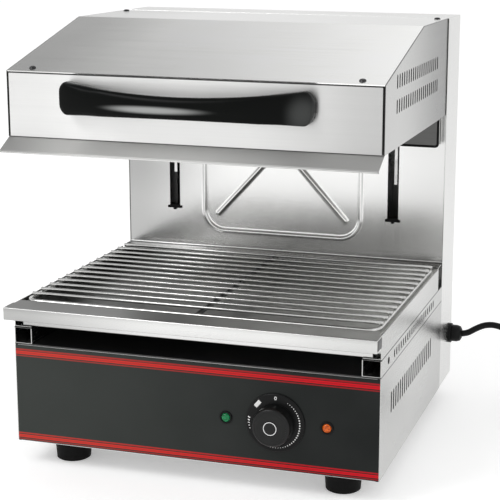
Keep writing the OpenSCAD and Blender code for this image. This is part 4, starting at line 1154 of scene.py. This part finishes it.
@dataclass
class WireGrate:
    """Wire grate in millimetres: a bent frame, a middle bar and thirteen cross wires welded on top."""

    half_width: float = 216.0
    front: float = -177.3
    back: float = 125.75
    frame_z: float = 201.15
    frame_radius: float = 2.75
    corner: float = 14.0
    cross_half: float = 218.0
    cross_first: float = 19.0
    cross_pitch: float = 23.0
    cross_count: int = 13
    cross_z: float = 205.8
    cross_radius: float = 2.0

    @staticmethod
    def bar(form: Form, start: Point, end: Point, radius: float) -> None:
        """Add a straight wire with rounded ends.

        Args:
            form: the mesh that it goes into.
            start: its first end.
            end: its other end.
            radius: its radius.
        """
        first, last = Vector(mm(*start)), Vector(mm(*end))
        step = (last - first).normalized() * (0.25 * radius * MM)
        form.swept([first, first + step, last - step, last], [radius * share for share in (0.8, 1.0, 1.0, 0.8)])

    def build(self) -> None:
        """Bend the frame and lay the wires."""
        middle_y, z = (self.front + self.back) / 2, self.frame_z
        outline = rounded_box(self.half_width, (self.back - self.front) / 2, self.corner, 8)
        form = Form("bent_frame").swept([mm(x, middle_y + y, z) for x, y in outline], self.frame_radius, closed=True)
        form.done(Finishes.WIRE, "wire", "grate", ["grate_frame"])
        # the middle bar is in a dark copy of the wire, as painted shade
        form = Form("middle_bar")
        inner = self.frame_radius * 0.3
        self.bar(form, (0, self.front + inner, z), (0, self.back - inner, z), self.frame_radius)
        form.done(Finishes.BAR, "wire", "grate")
        form = Form("cross_wires")
        for i in range(self.cross_count):
            y = self.front + self.cross_first + i * self.cross_pitch
            self.bar(form, (-self.cross_half, y, self.cross_z), (self.cross_half, y, self.cross_z), self.cross_radius)
        form.done(Finishes.WIRE, "wire", "grate", ["grate_wires"])


@dataclass
class BeadedFront:
    """Front sheet of the column in millimetres: pressed beads, two lift slots and a ledge over the tray."""

    half_width: float = 223.8
    face_y: float = 152.75
    bottom: float = 152.4
    top: float = 526.3
    thickness: float = 1.2
    slot: Flat = (148.0, 163.0)
    slot_z: Flat = (257.3, 476.0)
    bead_width: float = 8.2
    bead_height: float = 2.3
    frame_half: float = 111.0
    frame_z: Flat = (227.8, 473.8)
    frame_radius: float = 29.0
    inset: Flat = (19.0, 23.0)
    ledge_y: float = 133.75
    ledge_z: float = 203.3
    # the finely meshed part: half of its width, its margin round the beads, its cells, and the cells' play
    spread: float = 120.4
    margin: float = 8.0
    step: float = 1.4
    slack: float = 0.1
    # rows of the mesh below and above the finely meshed part
    rows_below: tuple[float, ...] = (180.0, 203.0, 206.0, 212.0)
    rows_above: tuple[float, ...] = (495.0,)

    def relief(self, x: float, z: float) -> float:
        """How far the sheet is pressed out at a point.

        Args:
            x: its place across.
            z: its height.

        Returns:
            The height of the bead there.
        """
        half_z = (self.frame_z[1] - self.frame_z[0]) / 2
        x, z = abs(x), abs(z - self.frame_z[0] - half_z)
        qx, qz = x - self.frame_half + self.frame_radius, z - half_z + self.frame_radius
        frame = abs(math.hypot(max(qx, 0), max(qz, 0)) + min(max(qx, qz), 0) - self.frame_radius)
        reach = (self.frame_half - self.inset[0], half_z - self.inset[1])
        length = math.hypot(*reach)
        along = (x * reach[0] + z * reach[1]) / length
        across = abs(x * reach[1] - z * reach[0]) / length
        heights = []
        for distance, share in ((frame, 1.0), (across, ease((length + 1.5 - along) / 3.0))):
            near = min(2 * distance / self.bead_width, 1.0)
            heights.append(self.bead_height * share * (0.5 + 0.5 * math.cos(math.pi * near)))
        return max(heights)

    def grid(self, low: float, high: float) -> list[float]:
        """Even steps from one place to another, of about a cell each."""
        count = round((high - low) / self.step)
        return [low + (high - low) * i / count for i in range(count + 1)]

    def build(self) -> None:
        """Press the sheet, cut the slots and fold the ledge."""
        outer = [self.spread + self.margin, *self.slot, 190.0, self.half_width]
        xs = [-x for x in reversed(outer)] + self.grid(-self.spread, self.spread) + outer
        low, high = self.slot_z
        zs = self.grid(self.frame_z[0] - self.margin, self.frame_z[1] + self.margin)
        zs = sorted([z for z in zs if min(abs(z - low), abs(z - high)) > 0.6] + [low, high])
        zs = [self.bottom, *self.rows_below, *zs, *self.rows_above, self.top]
        form = Form("beaded_sheet")
        rows = [form.ring([mm(x, self.face_y - self.relief(x, z), z) for x in xs]) for z in zs]
        for j in range(len(zs) - 1):
            for i in range(len(xs) - 1):
                inside = self.slot[0] - self.slack < abs(xs[i] + xs[i + 1]) / 2 < self.slot[1] + self.slack
                if not (inside and low - self.slack < zs[j] and zs[j + 1] < high + self.slack):
                    form.mesh.faces.new((rows[j][i], rows[j][i + 1], rows[j + 1][i + 1], rows[j + 1][i]))
        rims = [tuple(e.verts) for e in form.mesh.edges if len(e.link_faces) == 1]
        corners = list(dict.fromkeys(corner for rim in rims for corner in rim))
        deep = Vector(mm(0, self.thickness, 0))
        back = dict(zip(corners, form.ring([corner.co + deep for corner in corners])))
        for a, b in rims:
            form.mesh.faces.new((a, b, back[b], back[a]))
        y, z, face, under = self.ledge_y, self.ledge_z, self.face_y, self.ledge_z - self.thickness
        fold = [
            (face + 0.6, under), (y + 0.4, under), (y, under + 0.4), (y, z - 0.4), (y + 0.4, z), (face - 2.2, z),
            (face - 1.1, z + 0.3), (face - 0.3, z + 1.1), (face, z + 2.2), (face + 0.6, z + 2.2),
        ]
        form.loft([[mm(x, fy, fz) for fy, fz in fold] for x in (-self.half_width, self.half_width)])
        form.done(Finishes.STEEL_BEADED, "steel", "root", ["column_front"])


@dataclass
class SheetTrim:
    """Sheet pieces in millimetres: flared lip and its hem, pull lip and pan front in a lighter steel as painted light,
    near-black splash guards behind the vents as painted shade, edging, and dark tabs as painted shade.
    """

    # painted shade: the splash guards are near-black, so that the vents read dark
    # name, body, distance of the wall's inner face from the middle, middle and half size along y, then z
    guards: tuple[tuple[str, str, float, Box], ...] = (
        ("cabinet_guard", "root", 223.6, (-29.1, 119.0, 107.5, 17.0)),
        ("rail_guard", "root", 223.6, (-31.5, 134.0, 162.65, 8.0)),
        ("head_guard", "head", 222.1, (-25.0, 118.0, 462.0, 25.0)),
    )
    # a guard's layers: how far in from the wall each is, and how much smaller
    guard_layers: tuple[Flat, ...] = ((0.0, 0.0), (0.5, 0.6), (2.2, 2.0), (2.6, 2.8))
    guard_corner: float = 5.0
    # painted shade: dark tabs at the pull lip's open ends
    tab: Box = (-206.2, 11.0, 194.9, 6.6)
    tab_layers: tuple[Flat, ...] = ((224.4, 0.3), (224.6, 0.0), (225.1, 0.0), (225.3, 0.3))
    tab_corner: float = 1.5
    apron: Box = (217.6, 134.2, 363.2, 401.0)
    apron_corner: float = 4.0
    edging_radius: float = 1.7
    lip_half: float = 223.0
    riser_half: float = 220.3
    # the flared lip's outer face, from its front edge to the head's front, as (y, z)
    flare: tuple[Flat, ...] = ((-216.25, 386.4), (-216.25, 388.9), (-216.1, 389.3), (-215.7, 389.6), (-191.55, 402.0))
    hem: Point = (222.0, -215.4, 387.3)
    hem_radius: float = 0.9
    riser_top: float = 414.0
    sheet: float = 1.2
    pull_half: float = 225.3
    # the pull lip's face, round its front edge, as (y, z): a lighter copy of the tray's steel laid over it, as painted
    # light
    pull: tuple[Flat, ...] = (
        (-217.2, 202.5), (-217.2, 202.72), (-218.2, 202.75), (-218.75, 202.5), (-218.98, 201.9), (-218.98, 188.6),
        (-218.75, 188.0), (-218.2, 187.7), (-217.4, 187.72), (-217.4, 188.1), (-218.5, 188.4), (-218.5, 202.2),
    )
    # painted light: the pan front, a lighter sheet laid over the tray's front wall, as (y, z)
    skin_half: float = 214.0
    skin: tuple[Flat, ...] = (
        (-191.7, 175.3), (-191.95, 175.5), (-192.0, 175.8), (-192.0, 186.8), (-191.95, 187.1), (-191.7, 187.3),
    )

    def slabs(
        self, name: str, place: Box, layers: Sequence[Flat], corner: float, caps: Sequence[int], *look: Any
    ) -> None:
        """Stack rounded outlines into a slab on the left and one on the right.

        Args:
            name: what they are called, before their side.
            place: middle and half size along y, middle and half size along z.
            layers: how far from the middle each outline is, and how much smaller.
            corner: radius of the outlines' corners.
            caps: the ends to close.
            *look: their finish, slot and body; the slot is not used.
        """
        middle_y, half_y, middle_z, half_z = place
        for side, word in ((-1, "left"), (1, "right")):
            rings = []
            for out, inset in layers:
                outline = rounded_box(half_y - inset, half_z - inset, corner)
                rings.append([mm(side * out, middle_y + a, middle_z + b) for a, b in outline])
            Form(f"{name}_{word}").loft(rings, caps).done(*look, (), 40)

    def flared_lip(self) -> None:
        """Fold the lip under the head's front, with the riser behind the front panel."""
        (y0, z0), (y1, z1) = self.flare[0], self.flare[-1]
        deep, riser = self.sheet, self.riser_half
        rings = []
        for x in (-self.lip_half, -riser - 0.05, -riser, riser, riser + 0.05, self.lip_half):
            top = self.riser_top if abs(x) <= riser else z1 + 0.1
            inside = [(y1, top), (y1 + deep, top), (y1 + deep, z1 - 0.7), (y0 + deep, z0 + 2.3), (y0 + deep, z0)]
            rings.append([mm(x, y, z) for y, z in (*self.flare, *inside)])
        Form("flared_lip").loft(rings).done(Finishes.STEEL_LIP, "steel", "head", ["head_lip"], 30)

    def build(self) -> None:
        """Make the guards, the bead round the back plate, the lips, the hem and the tabs; the guards and the tabs are
        painted shade, the pull lip and the pan front painted light.
        """
        for name, body, wall, place in self.guards:
            layers = [(wall - depth, inset) for depth, inset in self.guard_layers]
            self.slabs(name, place, layers, self.guard_corner, (LAST,), Finishes.VENT_SHADE, "dark_steel", body)
        half, y, low, high = self.apron
        corners = [mm(-half, y, high), mm(-half, y, low), mm(half, y, low), mm(half, y, high)]
        form = Form("edging_bead").swept(fillet(corners, self.apron_corner * MM), self.edging_radius, 12)
        form.done(Finishes.SEAL, "black_plastic", "head", ["apron_seal"])
        self.flared_lip()
        for name, half, outline in (("pull_lip", self.pull_half, self.pull), ("pan_front", self.skin_half, self.skin)):
            form = Form(name).loft([[mm(x, y, z) for y, z in outline] for x in (-half, half)])
            form.done(Finishes.STEEL_PULL, "steel", "tray", (), 50)
        half, y, z = self.hem
        form = Form("lip_hem").swept([mm(x, y, z) for x in (-half, -half / 2, 0, half / 2, half)], self.hem_radius, 12)
        form.done(Finishes.HEM, "steel", "head")
        self.slabs("lip_shade_tab", self.tab, self.tab_layers, self.tab_corner, BOTH, Finishes.SHADE_TAB, "steel", "tray")


@dataclass
class LiftWorks:
    """Counterbalance springs and the cable's conduit in millimetres."""

    spring_x: float = 120.0
    spring_y: float = 177.75
    spring_radius: float = 7.1
    spring_z: Flat = (329.0, 510.0)
    spring_end: float = 12.0
    wire: float = 0.9
    turns: int = 42
    steps_in_turn: int = 12
    conduit_y: float = 211.75
    conduit_radius: float = 7.4
    conduit_ribs: float = 0.6
    conduit_z: Flat = (90.0, 326.0)

    def spring(self, name: str, x: float, nodes: Sequence[str]) -> None:
        """Wind one spring.

        Args:
            name: its name.
            x: where its axis is.
            nodes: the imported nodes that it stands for.
        """
        (low, high), y, end, steps = self.spring_z, self.spring_y, self.spring_end, self.turns * self.steps_in_turn
        line = [mm(x, y, low), mm(x, y, low + end / 2)]
        for i in range(steps + 1):
            angle = 2 * math.pi * i / self.steps_in_turn
            across, deep = self.spring_radius * math.cos(angle), self.spring_radius * math.sin(angle)
            line.append(mm(x + across, y + deep, low + end + (high - low - 2 * end) * i / steps))
        line += [mm(x, y, high - end / 2), mm(x, y, high)]
        piece = Form(name).swept(line, self.wire, 6).done(Finishes.DARK, "dark_steel", None, nodes)
        mm(0, 0, high)
        mm(0, 0, low)
        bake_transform(piece)

    def conduit(self) -> None:
        """Make the ribbed conduit."""
        low, high = self.conduit_z
        rings = []
        for i in range(int(high - low) + 1):
            radius = self.conduit_radius + self.conduit_ribs * math.sin(math.pi * i / 2)
            rings.append([mm(radius * c, self.conduit_y + radius * s, low + i) for c, s in circle(20)])
        piece = Form("ribbed_conduit").loft(rings).done(Finishes.BLACK, "black_plastic", None, ["flex_conduit"])
        mm(0, 0, low)
        mm(0, 0, high)
        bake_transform(piece)

    def build(self) -> None:
        """Make the springs and the conduit."""
        self.spring("spring_left", -self.spring_x, ["lift_springs"])
        self.spring("spring_right", self.spring_x, [])
        self.conduit()


# Studio


@dataclass
class SoftLight:
    """A soft box that points at the object."""

    name: str
    place: Point
    width: float
    height: float
    watts: float
    target: Point = (0.0, 0.0, 0.25)

    def build(self) -> None:
        """Hang the light."""
        data = bpy.data.lights.new(self.name, "AREA")
        data.shape = "RECTANGLE"
        data.size, data.size_y, data.energy = self.width, self.height, self.watts
        lamp = add(self.name, data)
        lamp.location = self.place
        lamp.rotation_euler = (Vector(self.target) - Vector(self.place)).to_track_quat("-Z", "Y").to_euler()


@dataclass(frozen=True)
class FloorPaper(Finish):
    """Pale paper that glows a little, so that it stays bright under the grill."""

    dark: Colour = grey(0.86)
    light: Colour = grey(0.9)
    glow: float = 0.3

    def paint(self, shader: Shader) -> None:
        """Faint clouds on an even glow."""
        shader.surface(
            Base_Color=shader.mix(shader.noise(3.0, 2.0), self.dark, self.light), Roughness=0.9,
            Emission_Color=grey(1.0), Emission_Strength=self.glow,
        )


@dataclass
class Studio:
    """Plain pale floor, an even room and soft boxes, and the camera."""

    camera_place: Point = (0.56553, -1.65729, 0.64780)
    azimuth: float = 16.156
    elevation: float = 12.308
    roll: float = 0.445
    focal_length: float = 101.948
    shift: Flat = (-0.12067, -0.03981)
    floor_size: float = 30.0
    lights: tuple[SoftLight, ...] = (
        SoftLight("key_box", (-1.6, -1.9, 2.6), 1.6, 1.2, 34.0),
        SoftLight("fill_box", (2.4, -1.2, 1.9), 1.4, 1.2, 6.0),
    )

    def camera(self) -> None:
        """Place the camera."""
        (ca, sa), (ce, se), (cr, sr) = (
            (math.cos(a), math.sin(a)) for a in map(math.radians, (self.azimuth, self.elevation, self.roll))
        )
        back, right = Vector((sa * ce, -ca * ce, se)), Vector((ca, sa, 0.0))
        up = back.cross(right)
        turned = (right * cr + up * sr, up * cr - right * sr, back)
        data = bpy.data.cameras.new("camera")
        data.sensor_width, data.lens = 36.0, self.focal_length
        data.shift_x, data.shift_y = self.shift
        data.clip_start, data.clip_end = 0.05, 100.0
        camera = add("camera", data)
        camera.matrix_world = Matrix.Translation(self.camera_place) @ Matrix(turned).transposed().to_4x4()
        bpy.context.scene.camera = camera

    def room(self) -> None:
        """Bright near the horizon, darker overhead and darkest high at the back left."""
        world = bpy.data.worlds.new("room")
        bpy.context.scene.world = world
        shader = Shader(world)
        x, y, z = shader.axes("Generated")
        high = z.fade(0.30, 0.55)
        side = x.fade(-0.44, -0.14, 0.36, 0.95)
        front = y.fade(-0.3, 0.3)
        level = 1.0 - high * (1.0 - (side * front + 0.8 * (1.0 - front)))
        light = shader.node("ShaderNodeBackground", None, {"Color": grey(1.0), "Strength": level})
        shader.end(light, "ShaderNodeOutputWorld")

    def floor(self) -> None:
        """A wide pale floor."""
        half = self.floor_size / 2
        rows = [[(x * half, y * half, 0.0) for x in (-1, 0, 1)] for y in (-1, 0, 1)]
        form = Form("studio_floor").loft(rows, (), closed=False)
        add(form.name, form.data(FloorPaper("floor_paper").material(), 60.0))

    def build(self) -> None:
        """Set up the view, the room, the floor and the lights."""
        self.camera()
        self.room()
        self.floor()
        for light in self.lights:
            light.build()
        bpy.context.scene.view_settings.view_transform = "Standard"


def main() -> None:
    """Build the camera and the lead first, then the rest."""
    logging.basicConfig(level=logging.INFO, format="%(name)s: %(message)s")
    for kind in (Studio, PowerLead, PackedParts, BeadedFront, WireGrate, LiftHandle, Controls, SheetTrim, LiftWorks):
        kind().build()
        LOG.info("%s done", kind.__name__)


if __name__ == "__main__":
    main()
